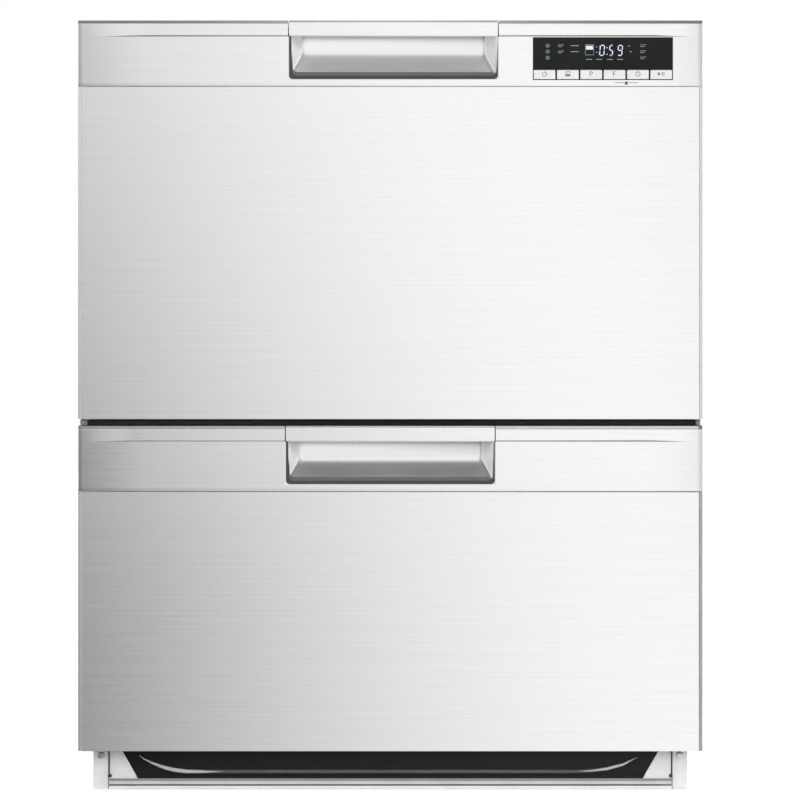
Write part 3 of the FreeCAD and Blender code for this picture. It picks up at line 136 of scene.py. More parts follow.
def brushed_steel(name, light, rough, streak=0.05, turn=0.25, corners=0.0):
    """Stainless steel brushed along X, with long faint streaks. Above 0, corners is how far painted shade reaches out
    of its inside corners, in metres."""
    made, shader, add, join = shader_nodes(name)
    long_streaks = object_noise(add, join, 1.0, 2.0, (5.0, 700.0, 700.0))
    fine_streaks = object_noise(add, join, 1.0, 2.0, (22.0, 2600.0, 2600.0))
    both = add("Mix", data_type="FLOAT")
    both.inputs["Factor"].default_value = 0.55
    join(long_streaks.outputs["Fac"], both.inputs["A"])
    join(fine_streaks.outputs["Fac"], both.inputs["B"])
    streaks = both.outputs["Result"]
    colour = tint(add, join, streaks, grey(light * (1 - streak)), grey(light), 0.36, 0.6)
    # Painted shade: ambient occlusion darkens the colour in inside corners, in creases and under overhangs.
    if corners:
        open_side = add("AmbientOcclusion", Distance=corners)
        open_side.samples = 8
        reach = between(add, join, open_side.outputs["AO"], 0.35, 1.0, 0.45, 0.82)
        darker = add("Mix", data_type="RGBA", blend_type="MULTIPLY")
        darker.inputs["Factor"].default_value = 1.0
        join(colour, darker.inputs["A"])
        join(reach, darker.inputs["B"])
        colour = darker.outputs["Result"]
    join(colour, shader.inputs["Base Color"])
    join(between(add, join, streaks, rough * 0.94, rough * 1.06), shader.inputs["Roughness"])
    bumped(add, join, shader, streaks, 0.012, 0.0001)
    shader.inputs["Metallic"].default_value = 1.0
    shader.inputs["Anisotropic"].default_value = 0.55
    shader.inputs["Anisotropic Rotation"].default_value = turn
    return made


def plated_steel(name, light, rough, spangle=0.05, metal=1.0, relief=0.04):
    """Zinc plated sheet: soft crystal patches, each a little lighter or duller than the next."""
    made, shader, add, join = shader_nodes(name)
    where = add("TexCoord")
    cells = add("TexVoronoi", Scale=160.0, Randomness=1.0)
    join(where.outputs["Object"], cells.inputs["Vector"])
    cloud = object_noise(add, join, 38.0, 5.0)
    patch = add("Mix", data_type="FLOAT")
    patch.inputs["Factor"].default_value = 0.4
    join(cells.outputs["Color"], patch.inputs["A"])
    join(cloud.outputs["Fac"], patch.inputs["B"])
    mottle = patch.outputs["Result"]
    colour = tint(add, join, mottle, grey(light * (1 - spangle), -0.006), grey(light), 0.2, 0.8)
    join(colour, shader.inputs["Base Color"])
    join(between(add, join, mottle, rough * 0.85, rough * 1.2), shader.inputs["Roughness"])
    bumped(add, join, shader, cloud.outputs["Fac"], relief, 0.0002)
    shader.inputs["Metallic"].default_value = metal
    return made


def moulded(name, colour, rough, grain=900.0, depth=0.06, coat=0.0, vary=0.12, gloss=0.5):
    """Moulded plastic, rubber or paint: a fine spark-eroded grain and slight patches of gloss."""
    made, shader, add, join = shader_nodes(name)
    fine = object_noise(add, join, grain, 2.0)
    cloud = object_noise(add, join, 24.0, 4.0)
    dark = tuple(c * (1 - vary) for c in colour)
    join(tint(add, join, cloud.outputs["Fac"], dark, colour, 0.35, 0.65), shader.inputs["Base Color"])
    mixed = add("Mix", data_type="FLOAT")
    mixed.inputs["Factor"].default_value = 0.5
    join(fine.outputs["Fac"], mixed.inputs["A"])
    join(cloud.outputs["Fac"], mixed.inputs["B"])
    join(between(add, join, mixed.outputs["Result"], rough * 0.85, min(1.0, rough * 1.2)), shader.inputs["Roughness"])
    bumped(add, join, shader, fine.outputs["Fac"], depth, 0.0002)
    shader.inputs["Coat Weight"].default_value = coat
    shader.inputs["Coat Roughness"].default_value = 0.08
    shader.inputs["Specular IOR Level"].default_value = gloss
    return made


def glowing(name, colour, strength):
    """A lit segment behind the glass: slightly uneven along its length, as a lamp lights it."""
    made, shader, add, join = shader_nodes(name)
    uneven = object_noise(add, join, 350.0, 2.0)
    dark = tuple(c * 0.8 for c in colour)
    lit = tint(add, join, uneven.outputs["Fac"], dark, colour, 0.3, 0.6)
    join(lit, shader.inputs["Base Color"])
    join(lit, shader.inputs["Emission Color"])
    shader.inputs["Emission Strength"].default_value = strength
    shader.inputs["Roughness"].default_value = 0.4
    return made


MATERIALS = {
    "front_steel": brushed_steel("front_steel", 0.97, 0.25),
    # handle_steel carries painted shade: ambient occlusion darkens its inside corners, out to 9 mm.
    "handle_steel": brushed_steel("handle_steel", 1.0, 0.31, 0.01, corners=0.009),
    "cabinet_steel": plated_steel("cabinet_steel", 0.93, 0.42, 0.06, 0.2),
    "rail_steel": plated_steel("rail_steel", 0.78, 0.34, 0.03, 0.8, 0.006),
    "screw_steel": plated_steel("screw_steel", 0.66, 0.26),
    "frame_plastic": moulded("frame_plastic", grey(0.72), 0.42, 1200.0),
    "tub_plastic": moulded("tub_plastic", grey(0.5, -0.01), 0.36, 700.0, vary=0.03),
    "black_plastic": moulded("black_plastic", grey(0.012), 0.3, 1100.0, 0.04, 0.0, 0.12, 0.2),
    "dark_plastic": moulded("dark_plastic", grey(0.05, -0.02), 0.45, 900.0),
    "grey_plastic": moulded("grey_plastic", grey(0.32, -0.01), 0.4, 900.0),
    "key_plastic": moulded("key_plastic", grey(0.66), 0.35, 1400.0, 0.02, 0.1, 0.03),
    "black_glass": moulded("black_glass", grey(0.011, -0.03), 0.1, 200.0, 0.004, 0.0, 0.3, 0.12),
    "seal_rubber": moulded("seal_rubber", grey(0.03), 0.7, 700.0, 0.12, 0.0, 0.2, 0.3),
    "rack_wire": moulded("rack_wire", grey(0.66, -0.03), 0.3, 500.0, 0.03, 0.25, 0.06),
    "motor_paint": moulded("motor_paint", grey(0.12, -0.01), 0.4, 600.0, 0.08),
}
LIT = glowing("lit_digits", (0.6, 0.6, 0.78), 0.2)
DIM = glowing("dim_marks", (0.2, 0.26, 0.3), 0.22)
LEGEND = moulded("legend_print", grey(0.13), 0.5, 1500.0, 0.02, 0.0, 0.1, 0.3)

NODE_SLOTS = {row["node"]: row["material_slot"] for row in frame["record"]["subparts"]}


def paint(piece, slot):
    """Gives a piece the finish of a material slot of the record."""
    piece.data.materials.clear()
    piece.data.materials.append(MATERIALS[slot])


for name, node in frame["nodes"].items():
    for number in range(max(1, len(node.material_slots))):
        if not node.material_slots:
            node.data.materials.append(None)
        node.material_slots[number].material = MATERIALS[NODE_SLOTS[name]]


# Stage, light and camera

FRONT = cad_low.y
PHOTO_CENTRE_X = 9.3 * MM
PHOTO_CENTRE_Z = 374.4 * MM
PHOTO_WIDTH = 766.1 * MM
LENS = 500.0
SENSOR = 36.0


def add_camera():
    data = bpy.data.cameras.new("camera")
    data.lens = LENS
    data.sensor_width = SENSOR
    camera = bpy.data.objects.new("camera", data)
    bpy.context.scene.collection.objects.link(camera)
    distance = PHOTO_WIDTH * LENS / SENSOR
    camera.location = (PHOTO_CENTRE_X, FRONT - distance, PHOTO_CENTRE_Z)
    camera.rotation_euler = (math.radians(90), 0, 0)
    data.clip_start = 0.1
    data.clip_end = 200.0
    bpy.context.scene.camera = camera


def plane(name, corners, material):
    mesh = bpy.data.meshes.new(name)
    mesh.from_pydata(corners, [], [tuple(range(len(corners)))])
    mesh.materials.append(material)
    made = bpy.data.objects.new(name, mesh)
    bpy.context.scene.collection.objects.link(made)
    made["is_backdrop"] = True
    return made


def seen_directly(add, join):
    """1 for a ray from the camera, or one that metal or glass sends on, and 0 for the light on the object."""
    path = add("LightPath")
    first = add("Math", operation="MAXIMUM")
    join(path.outputs["Is Camera Ray"], first.inputs[0])
    join(path.outputs["Is Glossy Ray"], first.inputs[1])
    either = add("Math", operation="MAXIMUM")
    join(first.outputs[0], either.inputs[0])
    join(path.outputs["Is Transmission Ray"], either.inputs[1])
    return either.outputs[0]


def floor_material():
    made, shader, add, join = shader_nodes("pale_floor")
    cloud = object_noise(add, join, 1.3, 3.0)
    path = add("LightPath")
    shade = add("Mix", data_type="RGBA")
    join(path.outputs["Is Glossy Ray"], shade.inputs["Factor"])
    join(tint(add, join, cloud.outputs["Fac"], grey(0.3), grey(0.32)), shade.inputs["A"])
    shade.inputs["B"].default_value = (0.0, 0.0, 0.0, 1.0)
    join(shade.outputs["Result"], shader.inputs["Base Color"])
    shader.inputs["Roughness"].default_value = 0.9
    shader.inputs["Specular IOR Level"].default_value = 0.0
    shader.inputs["Emission Color"].default_value = (1, 1, 1, 1)
    shader.inputs["Emission Strength"].default_value = 1.0
    where = add("TexCoord")
    split = add("SeparateXYZ")
    join(where.outputs["Object"], split.inputs["Vector"])
    left = between(add, join, split.outputs["X"], 0.92, 0.0, -0.42, 0.3)
    bend = add("Math", operation="POWER")
    join(left, bend.inputs[0])
    bend.inputs[1].default_value = 1.435
    mirrored = add("Math", operation="SUBTRACT")
    join(between(add, join, split.outputs["X"], 1.0, 0.55, 0.45, 1.2), mirrored.inputs[0])
    join(bend.outputs[0], mirrored.inputs[1])
    glows = []
    for ray, level in (("Is Glossy Ray", mirrored.outputs[0]), ("Is Camera Ray", 0.78), ("Is Transmission Ray", 0.78)):
        part = add("Math", operation="MULTIPLY")
        join(path.outputs[ray], part.inputs[0])
        if isinstance(level, float):
            part.inputs[1].default_value = level
        else:
            join(level, part.inputs[1])
        glows.append(part.outputs[0])
    total = glows[0]
    for glow in glows[1:]:
        most = add("Math", operation="MAXIMUM")
        join(total, most.inputs[0])
        join(glow, most.inputs[1])
        total = most.outputs[0]
    join(total, shader.inputs["Emission Strength"])
    return made


def card_material():
    """A wide studio card that the brushed fronts mirror: white, and darker towards its lower left and far right."""
    made = bpy.data.materials.new("studio_card")
    made.use_nodes = True
    tree = made.node_tree
    tree.nodes.clear()
    join = tree.links.new

    def math_node(operation, first, second):
        node = tree.nodes.new("ShaderNodeMath")
        node.operation = operation
        for number, value in enumerate((first, second)):
            if isinstance(value, (int, float)):
                node.inputs[number].default_value = value
            else:
                join(value, node.inputs[number])
        return node.outputs[0]

    def falloff(side, tilt, start, span, power, amount):
        """How much darker the card gets from start on, along a direction in its plane."""
        along = tree.nodes.new("ShaderNodeVectorMath")
        along.operation = "DOT_PRODUCT"
        along.inputs[1].default_value = (side, 0.0, tilt)
        join(where.outputs["Object"], along.inputs[0])
        past = math_node("SUBTRACT", along.outputs["Value"], start)
        past = math_node("MAXIMUM", math_node("DIVIDE", past, span), 0.0)
        return math_node("MULTIPLY", math_node("POWER", past, power), amount)

    out = tree.nodes.new("ShaderNodeOutputMaterial")
    glow = tree.nodes.new("ShaderNodeEmission")
    where = tree.nodes.new("ShaderNodeTexCoord")
    left = falloff(-1.0, -0.52, -0.372, 1.0, 1.435, 1.439)
    right = falloff(1.0, 0.0, 0.42, 0.3, 1.0, 0.75)
    far_left, far_right = falloff(-1.0, 0.0, 0.8, 0.25, 1.0, 1.0), falloff(1.0, 0.0, 0.8, 0.25, 1.0, 1.0)
    level = math_node("SUBTRACT", math_node("SUBTRACT", 1.04, left), right)
    level = math_node("MAXIMUM", level, math_node("MINIMUM", math_node("ADD", far_left, far_right), 1.0))
    join(math_node("MAXIMUM", level, 0.12), glow.inputs["Strength"])
    join(glow.outputs["Emission"], out.inputs["Surface"])
    return made


def ceiling_material():
    """The dark underside over the machine that turned-back edges mirror: lighter over its middle."""
    made, shader, add, join = shader_nodes("studio_ceiling")
    shader.inputs["Base Color"].default_value = (0.0, 0.0, 0.0, 1.0)
    shader.inputs["Specular IOR Level"].default_value = 0.0
    shader.inputs["Emission Color"].default_value = (1, 1, 1, 1)
    where = add("TexCoord")
    split = add("SeparateXYZ")
    join(where.outputs["Object"], split.inputs["Vector"])
    out = add("Math", operation="ABSOLUTE")
    join(split.outputs["X"], out.inputs[0])
    join(between(add, join, out.outputs[0], 0.52, 0.19, 0.02, 0.23), shader.inputs["Emission Strength"])
    return made


def mirrored_only(card):
    card.visible_camera = False
    card.visible_diffuse = False
    card.visible_shadow = False
    card.visible_transmission = False


def add_stage():
    far = 40.0
    plane("floor", [(-far, -far, 0), (far, -far, 0), (far, far, 0), (-far, far, 0)], floor_material())
    away, wide, low, high = FRONT - 1.6, 2.2, -0.9, 1.35
    card = plane("card", [(-wide, away, low), (wide, away, low), (wide, away, high), (-wide, away, high)], card_material())
    mirrored_only(card)
    back = 2.5
    ceiling = plane("ceiling", [(-wide, away, high), (wide, away, high), (wide, back, high), (-wide, back, high)], ceiling_material())
    mirrored_only(ceiling)


def add_world():
    world = bpy.data.worlds.new("studio")
    bpy.context.scene.world = world
    world.use_nodes = True
    tree = world.node_tree
    tree.nodes.clear()

    def add(kind, **settings):
        node = tree.nodes.new("ShaderNode" + kind)
        for key, value in settings.items():
            setattr(node, key, value)
        return node

    join = tree.links.new
    out = add("OutputWorld")
    sky = add("Background")
    light = add("Background")
    mix = add("MixShader")
    for part in (sky, light):
        part.inputs["Color"].default_value = (1.0, 1.0, 1.0, 1.0)
    light.inputs["Strength"].default_value = 0.86
    where = add("TexCoord")
    split = add("SeparateXYZ")
    join(where.outputs["Generated"], split.inputs["Vector"])
    ceiling = add("MapRange", interpolation_type="SMOOTHSTEP")
    ceiling.inputs["From Min"].default_value = 0.1
    ceiling.inputs["From Max"].default_value = 0.75
    ceiling.inputs["To Min"].default_value = 1.0
    ceiling.inputs["To Max"].default_value = 0.22
    join(split.outputs["Z"], ceiling.inputs["Value"])
    path = add("LightPath")
    white = add("Math", operation="MAXIMUM")
    join(path.outputs["Is Camera Ray"], white.inputs[0])
    join(ceiling.outputs["Result"], white.inputs[1])
    join(white.outputs[0], sky.inputs["Strength"])
    join(seen_directly(add, join), mix.inputs["Fac"])
    join(light.outputs[0], mix.inputs[1])
    join(sky.outputs[0], mix.inputs[2])
    join(mix.outputs[0], out.inputs["Surface"])


def add_lamp(name, place, target, size, power):
    data = bpy.data.lights.new(name, "AREA")
    data.shape = "DISK"
    data.size = size
    data.energy = power
    lamp = bpy.data.objects.new(name, data)
    bpy.context.scene.collection.objects.link(lamp)
    lamp.location = place
    aim = Vector(target) - Vector(place)
    lamp.rotation_mode = "QUATERNION"
    lamp.rotation_quaternion = aim.to_track_quat("-Z", "Y")
    lamp.visible_glossy = False
    return lamp


add_camera()
add_stage()
add_world()
centre = (cad_low + cad_high) / 2
add_lamp("key", (1.6, -2.6, 2.4), centre, 1.6, 38.0)
add_lamp("fill", (-2.2, -1.8, 1.2), centre, 2.0, 10.0)
add_lamp("low", (0.0, -2.6, 0.2), (0.0, -0.25, 0.03), 1.4, 30.0)
add_lamp("back", (0.8, 2.4, 1.8), centre, 1.8, 16.0)

scene = bpy.context.scene
scene.view_settings.view_transform = "Standard"


# Ways to make a piece. Lengths below are in millimetres.

def on_axis(axis, along, a, b):
    """A point at a place along an axis; a and b are its other two coordinates, in XYZ order."""
    return {"X": (along, a, b), "Y": (a, along, b), "Z": (a, b, along)}[axis]


class Shape:
    """Shells gathered into one mesh."""

    def __init__(self):
        self.points = []
        self.faces = []

    def skin(self, rings, closed=False, caps=True, wrap=True):
        """A surface over rings of equal count. Closed joins the last ring to the first."""
        start, count = len(self.points), len(rings[0])
        for ring in rings:
            self.points += ring
        for number in range(len(rings) if closed else len(rings) - 1):
            here = start + number * count
            there = start + (number + 1) % len(rings) * count
            for step in range(count if wrap else count - 1):
                after = (step + 1) % count
                self.faces.append((here + step, here + after, there + after, there + step))
        if caps and not closed:
            last = start + (len(rings) - 1) * count
            self.faces.append(tuple(range(start, start + count)))
            self.faces.append(tuple(range(last, last + count)))
        return self

    def prism(self, axis, low, high, outline):
        return self.skin([[on_axis(axis, level, *pair) for pair in outline] for level in (low, high)])

    def box(self, x, y, z):
        return self.prism("Z", z[0], z[1], [(x[0], y[0]), (x[1], y[0]), (x[1], y[1]), (x[0], y[1])])

    def turned(self, axis, centre, profile, steps=40, closed=False):
        """A turned form: profile holds pairs of radius and place along the axis."""
        rings = []
        for radius, along in profile:
            turns = [math.tau * step / steps for step in range(steps)]
            rings.append([on_axis(axis, along, centre[0] + radius * math.cos(turn), centre[1] + radius * math.sin(turn))
                          for turn in turns])
        return self.skin(rings, closed)


def add_piece(name, data, slot, body, stands_for=()):
    made = bpy.data.objects.new(name, data)
    bpy.context.scene.collection.objects.link(made)
    paint(made, slot)
    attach(made, body)
    if stands_for:
        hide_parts(*stands_for)
    return made


def solid(name, shape, slot, body, stands_for=(), edge=0.0, segments=2, turn=30, weld=False):
    """A mesh piece from a Shape, smooth up to the turn in degrees, with its edges rounded by edge."""
    mesh = bpy.data.meshes.new(name)
    mesh.from_pydata([[value * MM for value in point] for point in shape.points], [], shape.faces)
    work = bmesh.new()
    work.from_mesh(mesh)
    if weld:
        bmesh.ops.remove_doubles(work, verts=work.verts, dist=0.01 * MM)
    bmesh.ops.dissolve_degenerate(work, edges=work.edges, dist=0.001 * MM)
    bmesh.ops.recalc_face_normals(work, faces=work.faces)
    work.to_mesh(mesh)
    work.free()
    mesh.polygons.foreach_set("use_smooth", [True] * len(mesh.polygons))
    mesh.set_sharp_from_angle(angle=math.radians(turn))
    made = add_piece(name, mesh, slot, body, stands_for)
    if edge:
        round_edges(made, edge, segments, turn)
    return made


def round_edges(piece, width, segments=2, turn=30):
    bevel = piece.modifiers.new("edges", "BEVEL")
    bevel.width = width * MM
    bevel.segments = segments
    bevel.limit_method = "ANGLE"
    bevel.angle_limit = math.radians(turn)
    bevel.miter_outer = "MITER_ARC"
    shade = piece.modifiers.new("shading", "WEIGHTED_NORMAL")
    shade.keep_sharp = False
    shade.weight = 60


def sheet_metal(piece, thickness, turn=50):
    """Gives a surface its sheet's thickness, inwards, with crisp rims."""
    back = piece.modifiers.new("thickness", "SOLIDIFY")
    back.thickness = thickness * MM
    back.offset = -1.0
    back.use_even_offset = True
    bpy.context.view_layer.update()
    built = piece.evaluated_get(bpy.context.evaluated_depsgraph_get())
    mesh = bpy.data.meshes.new_from_object(built)
    piece.modifiers.clear()
    piece.data = mesh
    mesh.polygons.foreach_set("use_smooth", [True] * len(mesh.polygons))
    mesh.set_sharp_from_angle(angle=math.radians(turn))


def soften(node, width, segments=2, turn=32):
    """Rounds a CAD node's sharp edges and evens its shading, with modifiers only."""
    piece = frame["nodes"][node]
    join = piece.modifiers.new("weld", "WELD")
    join.merge_threshold = 0.002 * MM
    flat = piece.modifiers.new("flat_faces", "DECIMATE")
    flat.decimate_type = "DISSOLVE"
    flat.angle_limit = math.radians(0.6)
    round_edges(piece, width, segments, turn)


def rounded_outline(a, b, radius, steps=6):
    """A rectangle with round corners, as pairs, once round."""
    outline = []
    for corner, (u, v) in enumerate(((a[1], b[1]), (a[0], b[1]), (a[0], b[0]), (a[1], b[0]))):
        cu = u - radius if corner in (0, 3) else u + radius
        cv = v - radius if corner in (0, 1) else v + radius
        for step in range(steps + 1):
            turn = math.pi / 2 * (corner + step / steps)
            outline.append((cu + radius * math.cos(turn), cv + radius * math.sin(turn)))
    return outline


def bent(points, radius, steps=5, closed=False):
    """A wire's line with its corners bent round a radius."""
    points = [Vector(point) for point in points]
    count = len(points)
    line = []
    for number, point in enumerate(points):
        if not closed and number in (0, count - 1):
            line.append(tuple(point))
            continue
        before = points[number - 1]
        after = points[(number + 1) % count]
        to_before, to_after = (before - point).normalized(), (after - point).normalized()
        half = to_before.angle(to_after) / 2
        reach = radius / math.tan(half)
        start, end = point + to_before * reach, point + to_after * reach
        middle = (to_before + to_after).normalized()
        centre = point + middle * (radius / math.sin(half))
        for step in range(steps + 1):
            share = step / steps
            straight = start.lerp(end, share) - centre
            line.append(tuple(centre + straight.normalized() * radius))
    return line


TIP = ((0.0, 1.0), (0.5, 0.866), (0.8, 0.6), (0.95, 0.31), (1.0, 0.05))


def rounded_tip(start, end, radius):
    """A straight wire from start to end with a rounded end: points with their share of the radius."""
    start, end = Vector(start), Vector(end)
    along = (end - start).normalized()
    base = end - along * radius
    return [(*start, 1.0)] + [(*(base + along * radius * reach), share) for reach, share in TIP]


def wires(name, runs, slot, body, stands_for=()):
    """Round wires as one curve. Each run is its radius, its points and whether it is closed."""
    data = bpy.data.curves.new(name, "CURVE")
    data.dimensions = "3D"
    data.bevel_depth = MM
    data.bevel_resolution = 2
    data.use_fill_caps = True
    for radius, points, closed in runs:
        spline = data.splines.new("POLY")
        spline.points.add(len(points) - 1)
        for made, place in zip(spline.points, points):
            made.co = (place[0] * MM, place[1] * MM, place[2] * MM, 1.0)
            made.radius = radius * (place[3] if len(place) > 3 else 1.0)
        spline.use_cyclic_u = closed
        spline.use_smooth = True
    return add_piece(name, data, slot, body, stands_for)


# The two drawers' fronts

FACE, FRAME_FACE = -285.0, -266.0
HALF_FRONT = 299.0
FOLD_DROP, FOLD_RISE, SET_BACK = 15.6, 1.5, 0.9
PILLOW, PILLOW_RUN = 1.05, 62.0
END_ROUND = 0.6
PRINT_ROOM = 0.05
# Turned-back top edges, as pairs of how far back and how far under the top.
UPPER_EDGE = ((0.0, 4.4), (0.0, 3.5), (0.1, 2.8), (0.5, 2.0), (1.4, 1.0), (2.7, 0.3), (4.2, 0.0))
LOWER_EDGE = ((0.0, 4.4), (0.0, 3.8), (0.12, 3.4), (0.4, 3.1), (2.4, 1.0), (2.7, 0.7), (3.7, 0.0))


def along_table(table, x):
    """Straight lines between the table's pairs."""
    if x <= table[0][0]:
        return table[0][1]
    for (x0, y0), (x1, y1) in zip(table, table[1:]):
        if x <= x1:
            return y0 + (y1 - y0) * (x - x0) / (x1 - x0)
    return table[-1][1]


def smooth(share):
    share = min(1.0, max(0.0, share))
    return share * share * (3 - 2 * share)


def fascia(name, body, split, top, edge, foot_round, fade, handle_cut, window):
    """Pressed fascia: a face with a fold that fades out to its ends, a turned-back top and cut-outs."""
    fold = top - FOLD_DROP
    arc = [step / 5 * math.pi / 2 for step in range(6)]
    columns = [(-HALF_FRONT, FRAME_FACE - FACE)]
    columns += [(-HALF_FRONT + END_ROUND * (1 - math.cos(turn)), END_ROUND * (1 - math.sin(turn))) for turn in arc]
    inner = HALF_FRONT - END_ROUND
    places = [-inner + 4 * step for step in range(1, int(2 * inner / 4))]
    cuts = list(handle_cut) + (list(window[0]) if window else [])
    places = sorted([x for x in places if all(abs(x - cut) > 1.5 for cut in cuts)] + cuts)
    columns += [(x, 0.0) for x in places]
    columns += [(-x, back) for x, back in reversed(columns[:7])]
    levels = [split + 4.0, split + MOUTH] + ([split + 5.8, split + 46.8] if window else []) + [split + 26.0]
    fold_steps = ((-0.15, 0.0), (0.0, 0.0), (0.15, 0.08), (0.85, 0.92), (1.0, 1.0), (1.15, 1.0))
    rings = []
    for x, back in columns:
        share = smooth((x - fade[0]) / (fade[1] - fade[0])) * smooth((fade[3] - x) / (fade[3] - fade[2]))
        depth, rise = SET_BACK * share, FOLD_RISE * max(share, 0.12)
        rows = [(FRAME_FACE, split)]
        rows += [(FACE + foot_round * (1 - math.sin(turn)), split + foot_round * (1 - math.cos(turn))) for turn in arc]
        first = len(rows)
        rows += [(FACE, level) for level in sorted(levels)]
        rows += [(FACE + depth * back_share, fold + rise * up_share) for up_share, back_share in fold_steps]
        last = len(rows)
        rows += [(FACE + depth + y, top - drop) for y, drop in edge]
        rows += [(FRAME_FACE, top)]
        from_end = HALF_FRONT - END_ROUND - abs(x)
        pillow = PILLOW * max(0.0, 1 - max(from_end, 0.0) / PILLOW_RUN) ** 2
        rings.append([(x, min(y + back + pillow, FRAME_FACE), z) for y, z in rows])
    shape = Shape()
    shape.points = [point for ring in rings for point in ring]
    count = len(rings[0])
    for number in range(len(rings) - 1):
        middle = (rings[number][0][0] + rings[number + 1][0][0]) / 2
        for row in range(count - 1):
            level = (rings[number][row][2] + rings[number][row + 1][2]) / 2
            front = first <= row < last
            if handle_cut[0] < middle < handle_cut[1] and level > split + MOUTH:
                continue
            if window and front and window[0][0] < middle < window[0][1] and window[1][0] < level < window[1][1]:
                continue
            here = number * count + row
            shape.faces.append((here, here + 1, here + count + 1, here + count))
    shape.points = [(x, min(y + PRINT_ROOM, FRAME_FACE), z) for x, y, z in shape.points]
    piece = solid(name, shape, "front_steel", body, (name.replace("_face", ""),), turn=50, weld=True)
    sheet_metal(piece, 1.0)
    return piece


def u_ring(span, base, side, low, y, corner, ceiling, steps=6):
    """One line of the scoop: down its left side, along its bottom and up its right side."""
    left, right, floor = span[0] + side, span[1] - side, base + low
    ring = [(left, y, ceiling), (left, y, (ceiling + floor + corner) / 2)]
    for sign, middle in ((-1, left + corner), (1, right - corner)):
        for step in range(steps + 1):
            turn = math.pi / 2 * step / steps
            across = math.cos(turn) if sign < 0 else math.sin(turn)
            down = math.sin(turn) if sign < 0 else math.cos(turn)
            ring.append((middle + sign * corner * across, y, floor + corner * (1 - down)))
    ring += [(right, y, (ceiling + floor + corner) / 2), (right, y, ceiling)]
    return ring


MOUTH = 6.1


def handle(name, body, span, split, top, edge, cover_shade_slot, right_shade_taper):
    """Scoop handle: a pocket that tapers back, a dark edge and a darker step round its mouth that are painted shade,
    and the strip over it.
    """
    base, fold = split + MOUTH, top - FOLD_DROP
    wall, draft, ramp, depth, room = 1.4, 10.6, 19.0, 23.0, 1.0
    lip = [(0.0, 0.0, PRINT_ROOM, 0.4), (0.9, 0.5, PRINT_ROOM, 3.6), (1.1, 0.7, 0.2, 3.8), (1.3, 1.0, 0.9, 4.0)]
    rings = [u_ring(span, base, side, low, FACE + y, corner, fold) for side, low, y, corner in lip]
    for share, extra_side, extra_low in ((0.08, 0, 0), (0.3, 0, 0), (0.55, 0, 0), (0.72, 0.1, 0.15), (0.84, 0.35, 0.6),
                                         (0.92, 0.8, 1.4), (0.97, 1.4, 2.5), (0.993, 2.1, 4.0), (1.0, 3.0, 6.0)):
        rings.append(u_ring(span, base, wall + draft * share + extra_side, wall + ramp * share + extra_low,
                            FACE + depth * share, 4.0, fold + room))
    shape = Shape()
    shape.skin(rings, caps=False, wrap=False)
    last = len(shape.points) - len(rings[0])
    shape.faces.append(tuple(range(last, last + len(rings[0]))))
    scoop = solid(name + "_scoop", shape, "handle_steel", body, (name,), turn=60)
    sheet_metal(scoop, 1.0, 60)
    # Painted light: the end walls are picked by the way they face and given the paler cabinet finish, so they show
    # lighter than the steel scoop.
    scoop.data.materials.append(MATERIALS["cabinet_steel"])
    for face in scoop.data.polygons:
        face.material_index = 1 if abs(face.normal.x) > 0.6 else 0
    # Painted shade: a dark plastic edge round the mouth, thickest along the bottom and thinning up the sides, stands
    # for the shade at the mouth's rim.
    outer = u_ring(span, base, 1.0, 0.6, FACE + 0.1, 3.7, fold)
    grip_span = (span[0] + 1.6, span[1] - 0.6)
    inner = u_ring(grip_span, base, 2.2, 4.0, FACE + 3.2, 4.0, fold)
    shade_edge_rings = []
    for turn in [step / 6 * math.pi / 2 for step in range(7)]:
        ring = []
        for (x0, y0, z0), (x1, y1, z1) in zip(outer, inner):
            thin = 0.8 if x0 < sum(span) / 2 else right_shade_taper
            taper = thin + (1 - thin) * min(1.0, max(0.0, (fold - z0) / (fold - base)))
            share = math.sin(turn) * taper
            ring.append((x0 + (x1 - x0) * share, y0 + (y1 - y0) * (1 - math.cos(turn)), z0 + (z1 - z0) * share))
        shade_edge_rings.append(ring)
    grip = Shape().skin(shade_edge_rings, caps=False, wrap=False)
    sheet_metal(solid(name + "_painted_shade_edge", grip, "dark_plastic", body, (name,), turn=60), 0.5, 60)
    # Painted shade: a dark band inside the mouth makes a step from the dark edge to the ramp's tone.
    pad_front = u_ring(grip_span, base, 2.2, 3.95, FACE + 3.1, 4.0, fold)
    pad_back = []
    for (x0, y0, z0), (x1, y1, z1) in zip(pad_front, u_ring(grip_span, base, 2.9, 7.45, FACE + 6.98, 4.0, fold)):
        share = min(1.0, max(0.0, 1 - (z0 - base - 8.0) / 6.0))
        pad_back.append((x0 + (x1 - x0) * share, y0 + (y1 - y0) * share, z0 + (z1 - z0) * share))
    pad = Shape().skin([pad_front, pad_back], caps=False, wrap=False)
    sheet_metal(solid(name + "_shade_step", pad, "motor_paint", body, turn=60), 0.15, 60)
    front = FACE + SET_BACK
    strip_back = FACE + 6.0
    outline = [(strip_back, fold), (front + 1.4, fold)]
    outline += [(front + 1.4 * (1 - math.sin(turn)), fold + 1.4 * (1 - math.cos(turn))) for turn in (0.4, 0.8, 1.2)]
    outline += [(front, fold + 1.5)]
    outline += [(front + 0.6 * y, top - 0.6 * drop) for y, drop in edge]
    outline += [(strip_back, top)]
    ends = (span[0] + 0.9, span[1] - 0.9)
    strip = Shape().prism("X", *ends, outline)
    solid(name + "_strip", strip, "front_steel", body, (name,), edge=0.25, turn=50)
    cover = Shape().box(ends, (strip_back - 0.1, FACE + depth + 1.0), (fold + room, fold + room + wall))
    solid(name + "_cover", cover, cover_shade_slot, body, (name,), edge=0.3)


